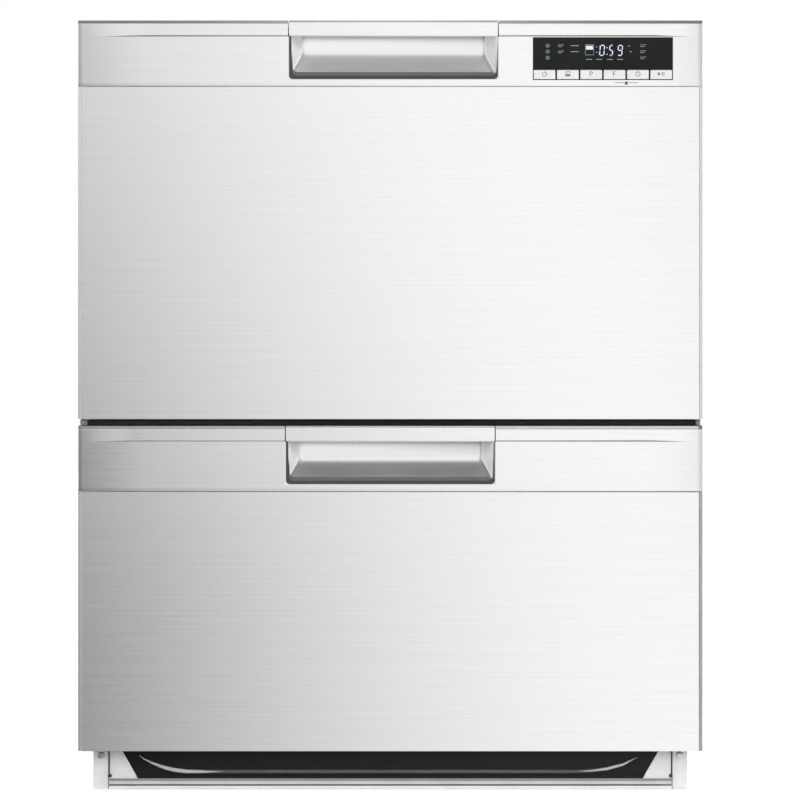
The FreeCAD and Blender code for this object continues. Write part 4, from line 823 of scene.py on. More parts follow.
UPPER_SPLIT, UPPER_TOP, LOWER_SPLIT, LOWER_TOP = 675.0, 738.0, 287.0, 350.0
UPPER_HANDLE, LOWER_HANDLE = (-98.0, 104.0), (-101.0, 101.0)
WINDOW = ((136.5, 270.7), (680.8, 721.8))
fascia("upper_fascia_face", "upper_drawer", UPPER_SPLIT, UPPER_TOP, UPPER_EDGE, 0.45, (-288, -228, 250, 290), UPPER_HANDLE, WINDOW)
fascia("lower_fascia_face", "lower_drawer", LOWER_SPLIT, LOWER_TOP, LOWER_EDGE, 0.8, (-292, -246, 246, 292), LOWER_HANDLE, None)
# Painted light and shade: the two covers get different finishes, cabinet steel above and tub plastic below, so the
# ramps under them reflect lighter on the upper handle and darker on the lower.
handle("upper_handle", "upper_drawer", UPPER_HANDLE, UPPER_SPLIT, UPPER_TOP, UPPER_EDGE, "cabinet_steel", 0.1)
handle("lower_handle", "lower_drawer", LOWER_HANDLE, LOWER_SPLIT, LOWER_TOP, LOWER_EDGE, "tub_plastic", 0.7)

# Painted shade: the right edge strips get darker grey plastics than the steel left ones.
for prefix, low, high, right_shade_slot in (("upper", 356.3, 674.6, "tub_plastic"), ("lower", 38.3, 286.6, "grey_plastic")):
    for side, sign, slot in (("left", -1, "front_steel"), ("right", 1, right_shade_slot)):
        strip = Shape().box(sorted((sign * 296.06, sign * 298.95)), (FACE + 0.25, FRAME_FACE + 0.5), (low, high))
        solid(prefix + "_panel_edge_" + side, strip, slot, prefix + "_drawer", edge=0.2)
    # Painted shade: the gasket behind each top seam is pale on the upper drawer and darker grey on the lower, for the
    # seam's differing shade.
    gasket = Shape().box((-297.5, 297.5), (FACE + 1.8, FACE + 3.0), (high - 1.2, high + 0.9))
    solid(prefix + "_seam_gasket", gasket, "frame_plastic" if prefix == "upper" else "grey_plastic", prefix + "_drawer")

gap_seal = Shape()
seal_section = [(-240.0, 349.3), (-262.0, 349.3), (-263.5, 350.2), (-264.0, 352.0), (-263.5, 354.6), (-262.0, 355.9), (-240.0, 355.9)]
gap_seal.skin([[(x, y, z) for y, z in seal_section] for x in (-290.0, 292.5)])
solid("gap_seal", gap_seal, "seal_rubber", "lower_drawer", edge=0.5, turn=40)
# Painted light: the two ends of the gap are grey plastic, lighter than the black seal, where light reaches into the
# gap's ends.
seal_ends = Shape()
for ends in ((-297.6, -290.4), (292.9, 297.6)):
    seal_ends.skin([[(x, y + 0.6, z) for y, z in seal_section] for x in ends])
solid("gap_lit_ends", seal_ends, "grey_plastic", "lower_drawer", edge=0.8, segments=3, turn=40)


# The control panel

SEGMENTS = {
    "0": "abcdef", "5": "afgcd", "9": "abcdfg",
}
SEGMENT_ENDS = {
    "a": ((0, 2), (1, 2)), "b": ((1, 1), (1, 2)), "c": ((1, 0), (1, 1)), "d": ((0, 0), (1, 0)),
    "e": ((0, 0), (0, 1)), "f": ((0, 1), (0, 2)), "g": ((0, 1), (1, 1)),
}
GLASS_FACE = FACE + 0.15


def px(x, y):
    """A place on the fronts, from the picture frame's own ruler."""
    return (x - 390.25) * 0.9576, (791 - y) * 0.9576


def bar(shape, start, end, width, front, back, pointed=0.0):
    """A flat bar between two points of the front, with ends cut to a point as display segments are."""
    along = Vector((end[0] - start[0], end[1] - start[1])).normalized()
    side = Vector((-along.y, along.x)) * width / 2
    a, b = Vector(start), Vector(end)
    tip = along * pointed
    outline = [a - side + tip, b - side - tip, b, b + side - tip, a + side + tip, a] if pointed else \
              [a - side, b - side, b + side, a + side]
    return shape.prism("Y", front, back, [tuple(point) for point in outline])


def digit(shape, text, left, low, width, height, slant):
    for mark in SEGMENTS[text]:
        ends = []
        for u, v in SEGMENT_ENDS[mark]:
            z = low + v * height / 2
            ends.append((left + u * width + slant * (z - low), z))
        along = Vector(ends[1]) - Vector(ends[0])
        short = along.normalized() * 0.35
        bar(shape, Vector(ends[0]) + short, Vector(ends[1]) - short, 1.0, FACE + 0.02, GLASS_FACE + 0.2, 0.4)


def ring_mark(shape, centre, radius, width, front, back, gap=0.0):
    """A flat ring on the front, open at its top by gap radians."""
    steps = 28
    rings = []
    for step in range(steps + 1):
        turn = math.pi / 2 + gap / 2 + (math.tau - gap) * step / steps
        ring = []
        for reach, y in ((radius - width / 2, front), (radius + width / 2, front), (radius + width / 2, back), (radius - width / 2, back)):
            ring.append((centre[0] + reach * math.cos(turn), y, centre[1] + reach * math.sin(turn)))
        rings.append(ring)
    return shape.skin(rings if gap else rings[:-1], closed=not gap)


def finish_marks(name, shape, material, body):
    made = solid(name, shape, "key_plastic", body)
    made.data.materials.clear()
    made.data.materials.append(material)
    return made


glass = Shape().prism("Y", GLASS_FACE, FACE + 2.5, rounded_outline((136.7, 270.5), (690.9, 721.6), 0.5, 3))
for number in range(7):
    left = 136.7 if number == 0 else 137.3 + 22.36 * number - 1.26
    right = 270.5 if number == 6 else 137.3 + 22.36 * number - 0.3
    glass.box((left, right), (GLASS_FACE + 0.3, FACE + 2.5), (681.0, 690.95))
glass.box((136.7, 270.5), (GLASS_FACE + 0.3, FACE + 2.5), (681.0, 681.4))
solid("display_glass", glass, "black_glass", "upper_drawer", ("display_window",), edge=0.25)

lit = Shape()
for text, left, right in (("0", 598.9, 605.4), ("5", 608.5, 613.9), ("9", 617.0, 623.4)):
    x0, z0 = px(left, 56.0)
    digit(lit, text, x0 + 0.55, z0 + 0.6, (right - left) * 0.9576 - 2.2, 9.6, 0.09)
for z in (46.6, 53.2):
    x0, z0 = px(607.0, z)
    lit.turned("Y", (x0, z0 - 1.0), [(0.55, FACE + 0.02), (0.55, GLASS_FACE + 0.2)], 14)
x0, z0 = px(586.0, 49.6)
x1, z1 = px(593.0, 45.7)
lit.prism("Y", FACE + 0.02, GLASS_FACE + 0.2, rounded_outline((x0, x1), (z0, z1), 0.4, 2))
finish_marks("lit_digits", lit, LIT, "upper_drawer")

dim = Shape()
for x, y, width in ((547.6, 45.7, 5), (547.6, 51.6, 5), (547.6, 57.8, 5), (560.9, 45.7, 6), (560.9, 51.9, 6), (574.7, 45.7, 8),
                    (574.7, 51.7, 8), (596.6, 46.9, 1.6), (596.6, 52.3, 1.6), (629.0, 46.0, 2), (630.6, 51.7, 2),
                    (643.2, 45.7, 6), (643.2, 51.7, 6), (643.2, 57.8, 6), (589.0, 59.4, 6), (599.0, 59.4, 6),
                    (610.0, 59.4, 6), (620.0, 59.4, 6)):
    x0, z0 = px(x, y)
    half = width * 0.9576 / 2
    if width == 5:
        ring_mark(dim, (x0, z0), 1.5, 0.5, FACE + 0.04, GLASS_FACE + 0.2)
        bar(dim, (x0 - 0.8, z0), (x0 + 0.8, z0), 0.45, FACE + 0.04, GLASS_FACE + 0.2)
    elif width == 6 and y < 59:
        bar(dim, (x0 - half, z0 + 0.8), (x0 + half, z0 + 0.8), 0.5, FACE + 0.04, GLASS_FACE + 0.2)
        bar(dim, (x0 - half, z0 - 0.8), (x0 + half * 0.4, z0 - 0.8), 0.5, FACE + 0.04, GLASS_FACE + 0.2)
    else:
        bar(dim, (x0 - half, z0), (x0 + half, z0), 0.7, FACE + 0.04, GLASS_FACE + 0.2)
for a, b in (((585.4, 44.6), (593.7, 44.6)), ((593.7, 44.6), (593.7, 54.9)), ((593.7, 54.9), (585.4, 54.9)), ((585.4, 54.9), (585.4, 44.6))):
    bar(dim, px(*a), px(*b), 0.35, FACE + 0.04, GLASS_FACE + 0.2)
finish_marks("dim_icons", dim, DIM, "upper_drawer")

under_keys = Shape()
bar(under_keys, px(614.5, 82.7), px(638.5, 82.7), 0.55, FACE + 0.01, FACE + 0.3)
tick_x, tick_z = px(626.3, 84.6)
under_keys.prism("Y", FACE + 0.01, FACE + 0.3, [(tick_x - 1.7, tick_z), (tick_x + 1.7, tick_z), (tick_x + 0.5, tick_z + 3.4), (tick_x - 0.5, tick_z + 3.4)])
finish_marks("key_rule", under_keys, LEGEND, "upper_drawer")

KEYS = ("power_key", "half_load_key", "program_key", "function_key", "delay_key", "start_key")
KEY_FACE = FACE + 0.2
for number, key in enumerate(KEYS):
    left = 137.3 + 22.36 * number
    cap = Shape()
    outline = rounded_outline((left, left + 20.8), (681.6, 690.4), 0.7, 3)
    cap.prism("Y", KEY_FACE, KEY_FACE + 4.0, outline)
    cap.turned("Y", (left + 10.4, 686.0), [(2.0, KEY_FACE + 3.9), (2.0, KEY_FACE + 5.6), (1.4, KEY_FACE + 6.0)], 20)
    solid(key + "_cap", cap, "key_plastic", key, (key,), edge=0.35, segments=3)
    x, z = left + 10.4, 686.6
    front, back = KEY_FACE - 0.05, KEY_FACE + 0.3
    mark = Shape()
    if number == 0:
        ring_mark(mark, (x, z), 2.1, 0.55, front, back, 1.1)
        bar(mark, (x, z + 0.6), (x, z + 2.7), 0.55, front, back)
    elif number == 1:
        mark.prism("Y", front, back, [(x - 2.5, z - 2.2), (x + 2.5, z - 2.2), (x + 2.5, z - 0.2), (x - 2.5, z - 0.2)])
        for side in (-2.25, 0.0, 2.25):
            bar(mark, (x + side, z - 0.2), (x + side, z + 2.2), 0.45, front, back)
        bar(mark, (x - 2.5, z + 2.2), (x + 2.5, z + 2.2), 0.45, front, back)
    elif number == 2:
        bar(mark, (x - 1.2, z - 2.4), (x - 1.2, z + 2.4), 0.6, front, back)
        bar(mark, (x - 1.2, z + 2.15), (x + 0.5, z + 2.15), 0.55, front, back)
        bar(mark, (x - 1.2, z + 0.1), (x + 0.5, z + 0.1), 0.55, front, back)
        bar(mark, (x + 0.5, z + 2.15), (x + 1.3, z + 1.5), 0.55, front, back)
        bar(mark, (x + 1.3, z + 1.6), (x + 1.3, z + 0.65), 0.55, front, back)
        bar(mark, (x + 1.3, z + 0.75), (x + 0.5, z + 0.1), 0.55, front, back)
    elif number == 3:
        bar(mark, (x - 1.2, z - 2.4), (x - 1.2, z + 2.4), 0.6, front, back)
        bar(mark, (x - 1.2, z + 2.15), (x + 1.5, z + 2.15), 0.55, front, back)
        bar(mark, (x - 1.2, z + 0.1), (x + 1.1, z + 0.1), 0.55, front, back)
    elif number == 4:
        ring_mark(mark, (x, z), 2.2, 0.5, front, back)
        bar(mark, (x, z), (x, z + 1.5), 0.45, front, back)
        bar(mark, (x, z), (x + 1.1, z - 0.4), 0.45, front, back)
    else:
        mark.prism("Y", front, back, [(x - 3.2, z - 1.9), (x - 0.4, z), (x - 3.2, z + 1.9)])
        for side in (1.0, 2.6):
            bar(mark, (x + side, z - 1.9), (x + side, z + 1.9), 0.7, front, back)
    finish_marks(key + "_legend", mark, LEGEND, key)


# Racks, tines and other wire

BEND = 9.0


def rack_wires(prefix, body, base, rail_top):
    """Rack of round coated wire: bent hoops, wires that run down one side, across and up the other, and tines."""
    half, front, back = 254.0, -229.0, 225.0
    low, cross, rail = base + 2.0, base + 6.0, rail_top - 2.0
    runs = []
    ring = lambda z: [(-half, front, z), (half, front, z), (half, back, z), (-half, back, z)]
    runs.append((2.0, bent(ring(rail), 27.0, 8, True), True))
    runs.append((2.0, bent(ring(low), 27.0, 8, True), True))
    for number in range(10):
        x = -225.0 + 50.0 * number
        runs.append((1.75, bent([(x, front, rail), (x, front, low), (x, back, low), (x, back, rail)], BEND / 2), False))
    for number in range(8):
        y = -200.0 + 56.571 * number
        runs.append((1.75, bent([(-half, y, rail), (-half, y, cross), (half, y, cross), (half, y, rail)], BEND), False))
    rows = [-108.0] + ([62.0] if prefix == "upper" else [])
    reach = 127.0 if prefix == "upper" else half
    for y in rows:
        runs.append((1.75, [(-half, y, cross), (reach, y, cross)], False))
        for number in range(9):
            x = -218.0 + 38.0 * number
            if x < reach:
                runs.append((1.8, rounded_tip((x, y, cross), (x, y, base + 8.0 + 62.0), 1.8), False))
    if prefix == "lower":
        runs.append((1.75, [(-half, 40.0, cross), (half, 40.0, cross)], False))
    return wires(prefix + "_rack_wires", runs, "rack_wire", body, (prefix + "_rack",))


rack_wires("upper", "upper_drawer", 455.1, 560.1)
rack_wires("lower", "lower_drawer", 131.1, 226.1)

eyes = Shape()
for y in ((-123.6, -117.3), (113.3, 119.6)):
    outline = [(-256.0, 558.0), (-246.5, 558.0), (-243.5, 562.0), (-243.0, 568.0), (-244.2, 571.8), (-247.2, 574.0), (-250.6, 573.2), (-256.0, 566.0)]
    eyes.prism("Y", y[0], y[1], outline)
solid("cup_shelf_lugs", eyes, "grey_plastic", "upper_drawer", edge=0.8, segments=3)

clips = Shape()
for x in (-214.0, 0.0, 214.0):
    outline = [(34.0, 138.8), (46.0, 138.8), (46.0, 142.0), (44.6, 147.0), (42.4, 149.8), (40.0, 150.1), (37.6, 149.8), (35.4, 147.0), (34.0, 142.0)]
    clips.prism("X", x - 3.0, x + 3.0, outline)
solid("tine_clips", clips, "grey_plastic", "lower_drawer", edge=0.8, segments=3)

tines = [(2.4, [(-217.0, 40.0, 144.1), (217.0, 40.0, 144.1)], False)]
for number in range(13):
    x = 32.0 * number - 192.0
    if abs(x) > 5:
        tines.append((1.9, rounded_tip((x, 40.0, 144.1), (x, 40.0, 206.1), 1.9), False))
wires("folding_tine_wires", tines, "rack_wire", "folding_tines", ("folding_tines",))


# Spray arms, motors and filters

def spray_arm(name, body, base):
    """Moulded arm: two domed blades that narrow to their tips, a hub and a row of jets on each blade."""
    half_long, middle = 215.0, -2.0
    shape = Shape()
    rings = []
    for step in range(31):
        share = -1 + 2 * step / 30
        x = half_long * math.sin(share * math.pi / 2) * 0.9965 + 0.0
        near = abs(x) / half_long
        width = 17.8 * math.sqrt(max(0.004, 1 - near ** 14)) * (1 - 0.14 * near)
        rise = 3.2 + 1.7 * (1 - near)
        ring = []
        for turn in range(20):
            angle = math.tau * turn / 20
            across, up = math.cos(angle), math.sin(angle)
            flat = math.copysign(abs(up) ** 0.7, up)
            ring.append((x, middle + width * math.copysign(abs(across) ** 0.75, across), base + 8.0 + (rise if flat > 0 else 4.4) * flat))
        rings.append(ring)
    shape.skin(rings)
    shape.turned("Z", (0.0, middle), [(6.15, base), (15.6, base), (17.0, base + 1.4), (17.0, base + 12.0), (15.2, base + 14.6), (11.0, base + 16.0), (6.15, base + 16.0)], 48, True)
    jets = Shape()
    for sign in (-1, 1):
        for number in range(1, 6):
            centre = (sign * 38.0 * number, middle + sign * 8.0)
            top = base + 13.6 - 0.3 * number
            jets.turned("Z", centre, [(4.2, base + 8), (4.0, top - 0.8), (3.2, top), (1.7, top), (1.4, top - 1.6)], 18)
        shape.box((sign * 60.0 - 42.0, sign * 60.0 + 42.0), (middle - 1.0, middle + 1.0), (base + 8, base + 13.0))
    solid(name + "_moulding", shape, "grey_plastic", body, (name,), turn=40)
    solid(name + "_jets", jets, "dark_plastic", body, turn=40)


def wash_motor(prefix, body, low):
    """Motor can with cooling ribs, a mounting band, the spigot and its shaft."""
    middle = (0.0, -2.0)
    profile = [(20.0, low), (60.0, low), (65.0, low + 2.0), (66.0, low + 5.0)]
    for rib in range(7):
        z = low + 7.0 + 4.2 * rib
        profile += [(66.0, z), (68.0, z + 0.5), (68.0, z + 1.9), (66.0, z + 2.4)]
    profile += [(66.0, low + 38.0), (68.0, low + 38.6), (68.0, low + 41.0), (66.5, low + 42.0), (13.0, low + 42.0), (13.0, low + 61.0),
                (12.0, low + 63.0), (8.0, low + 63.0), (6.0, low + 63.3), (6.0, low + 78.3), (5.2, low + 79.3)]
    shape = Shape().turned("Z", middle, profile, 64)
    for turn in range(6):
        angle = math.tau * turn / 6
        centre = (middle[0] + 46 * math.cos(angle), middle[1] + 46 * math.sin(angle))
        shape.turned("Z", centre, [(4.0, low - 0.0), (4.0, low + 1.0)], 6)
    solid(prefix + "_motor_can", shape, "motor_paint", body, (prefix + "_wash_motor",), turn=35)


def drain_filter(prefix, body, low, floor):
    """Filter cup: rim, screen wall, bottom and a grip across it."""
    centre = (0.0, 123.0)
    rim = Shape().turned("Z", centre, [(42.4, floor), (49.2, floor), (50.0, floor + 0.8), (50.0, floor + 2.4), (49.2, floor + 3.2), (43.6, floor + 3.2),
                                       (42.4, floor + 2.2)], 64, True)
    rim.turned("Z", centre, [(43.9, low), (43.9, low + 3.0), (42.2, low + 3.0), (42.2, low + 1.6), (8.0, low + 1.6), (8.0, low)], 64, True)
    half = 43.0
    grip = [(-half, low + 1.0), (half, low + 1.0), (half, floor + 1.0), (30.0, floor + 3.0), (22.0, floor + 9.0), (17.0, floor + 10.0), (-17.0, floor + 10.0),
            (-22.0, floor + 9.0), (-30.0, floor + 3.0), (-half, floor + 1.0)]
    rim.prism("Y", centre[1] - 2.2, centre[1] + 2.2, grip)
    solid(prefix + "_filter_rim", rim, "grey_plastic", body, (prefix + "_drain_filter",), edge=0.4, turn=35)
    screen = Shape()
    steps, rows = 60, 7
    rings = []
    for row in range(rows + 1):
        z = low + 2.4 + (floor - low - 2.0) * row / rows
        rings.append([(centre[0] + 43.2 * math.cos(math.tau * step / steps), centre[1] + 43.2 * math.sin(math.tau * step / steps), z) for step in range(steps)])
    screen.skin(rings, caps=False)
    mesh = solid(prefix + "_filter_screen", screen, "rail_steel", body)
    net = mesh.modifiers.new("net", "WIREFRAME")
    net.thickness = 1.1 * MM
    net.use_even_offset = False


for prefix, hub, tub_base in (("upper", 425.3, 404.0), ("lower", 101.3, 80.0)):
    drawer = prefix + "_drawer"
    spray_arm(prefix + "_spray_arm", prefix + "_spray_arm", hub)
    wash_motor(prefix, drawer, tub_base - 42.0)
    drain_filter(prefix, prefix + "_drain_filter", tub_base - 20.7, tub_base + 3.3)


# Feet, screws and connections

for foot in ("front_left_foot", "front_right_foot", "rear_left_foot", "rear_right_foot"):
    low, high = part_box(foot)
    centre = ((low.x + high.x) / 2 / MM, (low.y + high.y) / 2 / MM)
    profile = [(16.0, 0.0), (19.2, 0.0), (20.0, 0.8), (20.0, 4.6), (18.6, 6.2), (12.0, 7.0), (9.2, 7.0)]
    shape = Shape().turned("Z", centre, profile + [(9.2, 11.0), (5.0, 11.4)], 40)
    thread = [(4.4, 10.5)]
    for turn in range(29):
        z = 11.5 + 2.0 * turn
        thread += [(4.4, z), (5.0, z + 0.7), (5.0, z + 1.1), (4.4, z + 1.8)]
    thread += [(4.4, 69.4), (3.8, 70.0)]
    shape.turned("Z", centre, thread, 20)
    solid(foot + "_turned", shape, "dark_plastic", foot, (foot,), turn=35)

# The bead is the pan's pressed ridge. Its dark grey, lighter than the black pan, is painted sheen along the ridge.
pan_line = [px(x, y) for x, y in ((137.6, 756.6), (143, 760.4), (150, 764), (157.5, 767), (165, 769.5), (174, 771.6), (185, 773), (200, 773.2),
                                  (575, 773.2), (592, 772.4), (608, 770.4), (624, 766), (638.5, 758.6))]
swell = [0.05, 0.4, 0.7, 0.9] + [1.0] * (len(pan_line) - 7) + [0.8, 0.5, 0.05]
wires("base_pan_bead", [(2.2, [(x, -239.0, z, share) for (x, z), share in zip(pan_line, swell)], False)], "motor_paint", "cabinet")
# Painted highlight: white plastic wires over the bead's curved ends, swelling and fading with shine, stand for the
# light those ends catch.
shine = (0.02, 0.3, 0.55, 0.8, 1.0, 1.1, 1.1, 0.85, 0.02)
line = pan_line[:8] + [px(222, 773.2)]
right_shine = (0.02, 0.45, 0.85, 0.75, 0.05)
right_line = [px(578, 773.2)] + pan_line[-4:]
highlight_runs = [(1.9, [(x, -241.3, z, share) for (x, z), share in zip(line, shine)], False)]
highlight_runs += [(1.9, [(x, -241.3, z, share) for (x, z), share in zip(right_line, right_shine)], False)]
wires("base_pan_painted_highlight", highlight_runs, "key_plastic", "cabinet")

rail_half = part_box("front_base_rail")[1].x / MM
window_half = rail_half - 27.1
# Painted shade: a black strip along the base rail's top edge, under the pan.
pan_edge = [(0.8 - window_half, 10.6), (window_half - 0.8, 10.6), (window_half + 0.6, 13.1), (-window_half - 0.6, 13.1)]
solid("rail_top_shade", Shape().prism("Y", -243.6, -242.9, pan_edge), "black_plastic", "cabinet", edge=0.1)
rail_band = Shape().box((0.2 - rail_half, rail_half - 0.2), (-245.1, -242.9), (5.0, 8.1))
solid("base_rail_band", rail_band, "frame_plastic", "cabinet", edge=0.4, segments=3)
# Painted shade: a grey band along the rail's top edge, between the black strip and the pale band.
rail_shade_band = Shape().box((0.2 - rail_half, rail_half - 0.2), (-243.7, -242.9), (7.9, 10.7))
solid("base_rail_shade_band", rail_shade_band, "grey_plastic", "cabinet", edge=0.3)
wires("base_rail_line", [(0.75, [(-rail_half + 0.3, -245.0, 4.35), (rail_half - 0.3, -245.0, 4.35)], False)], "motor_paint", "cabinet")
# Painted shade: dark strips stand for the shade in the gaps beside the legs. The round nubs are rubber bumpers.
leg_gaps = Shape()
for sign in (-1, 1):
    leg_gaps.box(sorted((sign * 269.7, sign * 271.2)), (-242.6, -241.4), (0.6, 37.5))
    leg_gaps.turned("Y", (sign * 269.6, 13.2), [(1.9, -242.0), (1.9, -244.0), (1.3, -244.5)], 20)
solid("leg_gap_strips", leg_gaps, "dark_plastic", "cabinet", edge=0.2)

screws = Shape()
rear = [(sign * 279.6, 60.0 + 217.0 * step) for sign in (-1, 1) for step in range(4)]


def screw(shape, x, z, seat, out):
    """Pan head with a cross slot; out is the way it faces along Y."""
    dome = [(0.9, 2.0), (2.2, 1.85), (3.1, 1.35), (3.6, 0.5), (3.6, 0.0)]
    shape.turned("Y", (x, z), [(radius, seat + out * rise) for radius, rise in dome], 28)
    for size in ((1.9, 0.35), (0.35, 1.9)):
        shape.box((x - size[0], x + size[0]), sorted((seat + out * 1.0, seat + out * 1.96)), (z - size[1], z + size[1]))
    shape.turned("Y", (x, z), [(1.9, seat), (1.9, seat - out * 3.2), (1.2, seat - out * 3.5)], 16)


for x, z in rear:
    screw(screws, x, z, 263.0, 1)
for sign in (-1, 1):
    screw(screws, sign * 278.2, 33.0, -241.0, -1)
solid("pan_head_screws", screws, "screw_steel", "cabinet", ("cabinet_screws",), turn=35)

# Pressed forms, rivets and connections of the cabinet

COIL, GLAND_BORE = 12.0, 4.6

def bead_frame(shape, axis, seat, out, a, b, radius, half, rise):
    """A pressed bead that runs round a rounded rectangle on a sheet; out is the way it stands."""
    rings = []
    for side, lift in ((-1.0, -0.3), (-1.0, 0.0), (-0.75, 0.35), (-0.4, 0.85), (0.0, 1.0), (0.4, 0.85), (0.75, 0.35), (1.0, 0.0), (1.0, -0.3)):
        reach = side * half
        outline = rounded_outline((a[0] - reach, a[1] + reach), (b[0] - reach, b[1] + reach), radius + reach, 8)
        rings.append([on_axis(axis, seat + out * max(lift * rise, -0.3), *pair) for pair in outline])
    return shape.skin(rings, closed=True)


def pressed_rib(shape, axis, seat, out, a, b, rise):
    """A pressed rib with round ends and a flat top."""
    radius = min(a[1] - a[0], b[1] - b[0]) / 2 - 0.01
    rings = []
    for inset, lift in ((0.0, -0.3), (0.0, 0.0), (0.25, 0.3), (0.7, 0.75), (1.3, 0.97), (1.9, 1.0)):
        outline = rounded_outline((a[0] + inset, a[1] - inset), (b[0] + inset, b[1] - inset), radius - inset, 8)
        rings.append([on_axis(axis, seat + out * max(lift * rise, -0.3), *pair) for pair in outline])
    return shape.skin(rings)


def rivet(shape, axis, centre, seat, out, radius, rise):
    dome = [(1.0, -0.3), (1.0, 0.0), (0.93, 0.4), (0.72, 0.78), (0.4, 0.97), (0.1, 1.0)]
    return shape.turned(axis, centre, [(radius * share, seat + out * max(lift * rise, -0.3)) for share, lift in dome], 24)


SIDE_FACE, TOP_FACE, BACK_FACE = 285.6, 737.0, 263.0
pressed = Shape()
rivets = Shape()
for sign in (-1, 1):
    face = sign * SIDE_FACE
    for low, rail, high in ((52.0, 180.0, 322.0), (372.0, 540.0, 706.0)):
        bead_frame(pressed, "X", face, sign, (-206.0, 240.0), (low, high), 38.0, 5.0, 1.8)
        for middle in (-130.0, 17.0, 164.0):
            for run in ((low + 30.0, rail - 26.0), (rail + 26.0, high - 30.0)):
                pressed_rib(pressed, "X", face, sign, (middle - 8.0, middle + 8.0), run, 1.8)
        for y in (-180.0, -56.0, 90.0, 214.0):
            rivet(rivets, "X", (y, rail), face, sign, 4.2, 1.6)
        for y, z in ((-229.0, low + 24.0), (-229.0, high - 24.0), (266.0, low + 24.0), (266.0, high - 24.0)):
            rivet(rivets, "X", (y, z), face, sign, 3.2, 1.1)
bead_frame(pressed, "Z", TOP_FACE, 1, (-216.0, 216.0), (-178.0, 242.0), 46.0, 6.0, 0.85)
for middle in (-120.0, 0.0, 120.0):
    pressed_rib(pressed, "Z", TOP_FACE, 1, (middle - 10.0, middle + 10.0), (-128.0, 192.0), 0.85)
solid("cabinet_pressings", pressed, "cabinet_steel", "cabinet", turn=40)

for sign in (-1, 1):
    for y in (-215.0, 215.0):
        rivets.turned("Z", (sign * 250.0, y), [(2.6, 736.8), (7.0, 736.8), (7.0, 737.3), (6.4, 737.6), (2.9, 737.6), (2.6, 737.3)], 32, True)
solid("cabinet_rivets", rivets, "screw_steel", "cabinet", turn=40)

rear = Shape()
bead_frame(rear, "Y", BACK_FACE, 1, (-252.0, 252.0), (140.0, 704.0), 40.0, 6.0, 2.6)
for middle in (-165.0, -55.0, 55.0, 165.0):
    pressed_rib(rear, "Y", BACK_FACE, 1, (middle - 9.0, middle + 9.0), (190.0, 500.0), 2.6)
for x, z, reach in ((-215.0, 66.0, 21.0), (-120.0, 64.0, 20.0), (187.0, 57.0, 18.0)):
    rear.turned("Y", (x, z), [(reach, 262.8), (reach, 263.0), (reach + 0.8, 264.2), (reach + 2.2, 264.8), (reach + 3.6, 264.2),
                              (reach + 4.4, 263.0), (reach + 4.4, 262.8)], 40, True)
# Painted shade: thin black sheets under the louvres stand for the dark inside the vent openings.
slots = Shape()
for start in (-190.0, 50.0):
    for number in range(8):
        z = 548.0 + 15.0 * number
        pressed_rib(rear, "Y", BACK_FACE, 1, (start, start + 140.0), (z, z + 8.0), 3.0)
        slots.prism("Y", 262.9, 263.25, rounded_outline((start + 4.0, start + 136.0), (z - 2.6, z - 0.2), 1.1, 3))
solid("rear_pressings", rear, "cabinet_steel", "cabinet", turn=40)
solid("rear_vent_slots", slots, "black_plastic", "cabinet")


def hexagon(x, z, reach):
    return [(x + reach * math.cos(math.tau * step / 6), z + reach * math.sin(math.tau * step / 6)) for step in range(6)]


def fluted(shape, centre, levels, count=16, depth=0.9):
    """A grip nut along Y: flutes all round, and levels of radius and place."""
    rings = []
    for radius, along in levels:
        ring = []
        for step in range(count * 4):
            turn = math.tau * step / (count * 4)
            reach = radius - depth * (0.0, 0.5, 1.0, 0.5)[step % 4]
            ring.append((centre[0] + reach * math.cos(turn), along, centre[1] + reach * math.sin(turn)))
        rings.append(ring)
    return shape.skin(rings, closed=True)


valve = Shape()
valve.box((-235.0, -195.0), (236.0, 261.9), (46.0, 86.0))
valve.turned("Z", (-215.0, 249.0), [(COIL, 85.5), (COIL, 88.0), (COIL - 1.5, 88.4), (COIL - 1.5, 108.6), (COIL, 109.0), (COIL, 111.2), (COIL - 0.8, 112.0),
                                    (3.4, 112.0), (3.0, 111.0)], 40)
for x in (-219.0, -211.0):
    valve.box((x - 0.4, x + 0.4), (236.2, 239.0), (92.0, 101.0))
valve.prism("Y", 261.9, 264.0, hexagon(-215.0, 66.0, 15.1))
thread = [(8.0, 249.0), (8.0, 284.0), (8.5, 284.5), (11.8, 284.5), (12.2, 284.0)]
for turn in range(9):
    y = 283.0 - 2.0 * turn
    thread += [(12.2, y + 0.4), (13.2, y - 0.2), (13.2, y - 0.6), (12.2, y - 1.2)]
thread += [(12.2, 263.5), (12.2, 249.0)]
valve.turned("Y", (-215.0, 66.0), thread, 48, True)
solid("inlet_valve_body", valve, NODE_SLOTS["inlet_valve"], "cabinet", ("inlet_valve",), edge=0.3, turn=40)
strainer = Shape().turned("Y", (-215.0, 66.0), [(7.9, 272.0), (7.9, 273.0), (6.9, 273.0), (6.9, 272.0)], 40, True)
for turn in range(4):
    reach = -6.0 + 4.0 * turn
    half = math.sqrt(7.4 ** 2 - reach ** 2)
    strainer.box((-215.0 + reach - 0.4, -215.0 + reach + 0.4), (272.1, 272.9), (66.0 - half, 66.0 + half))
    strainer.box((-215.0 - half, -215.0 + half), (272.15, 272.85), (66.0 + reach - 0.4, 66.0 + reach + 0.4))
solid("inlet_strainer", strainer, "key_plastic", "cabinet", turn=40)

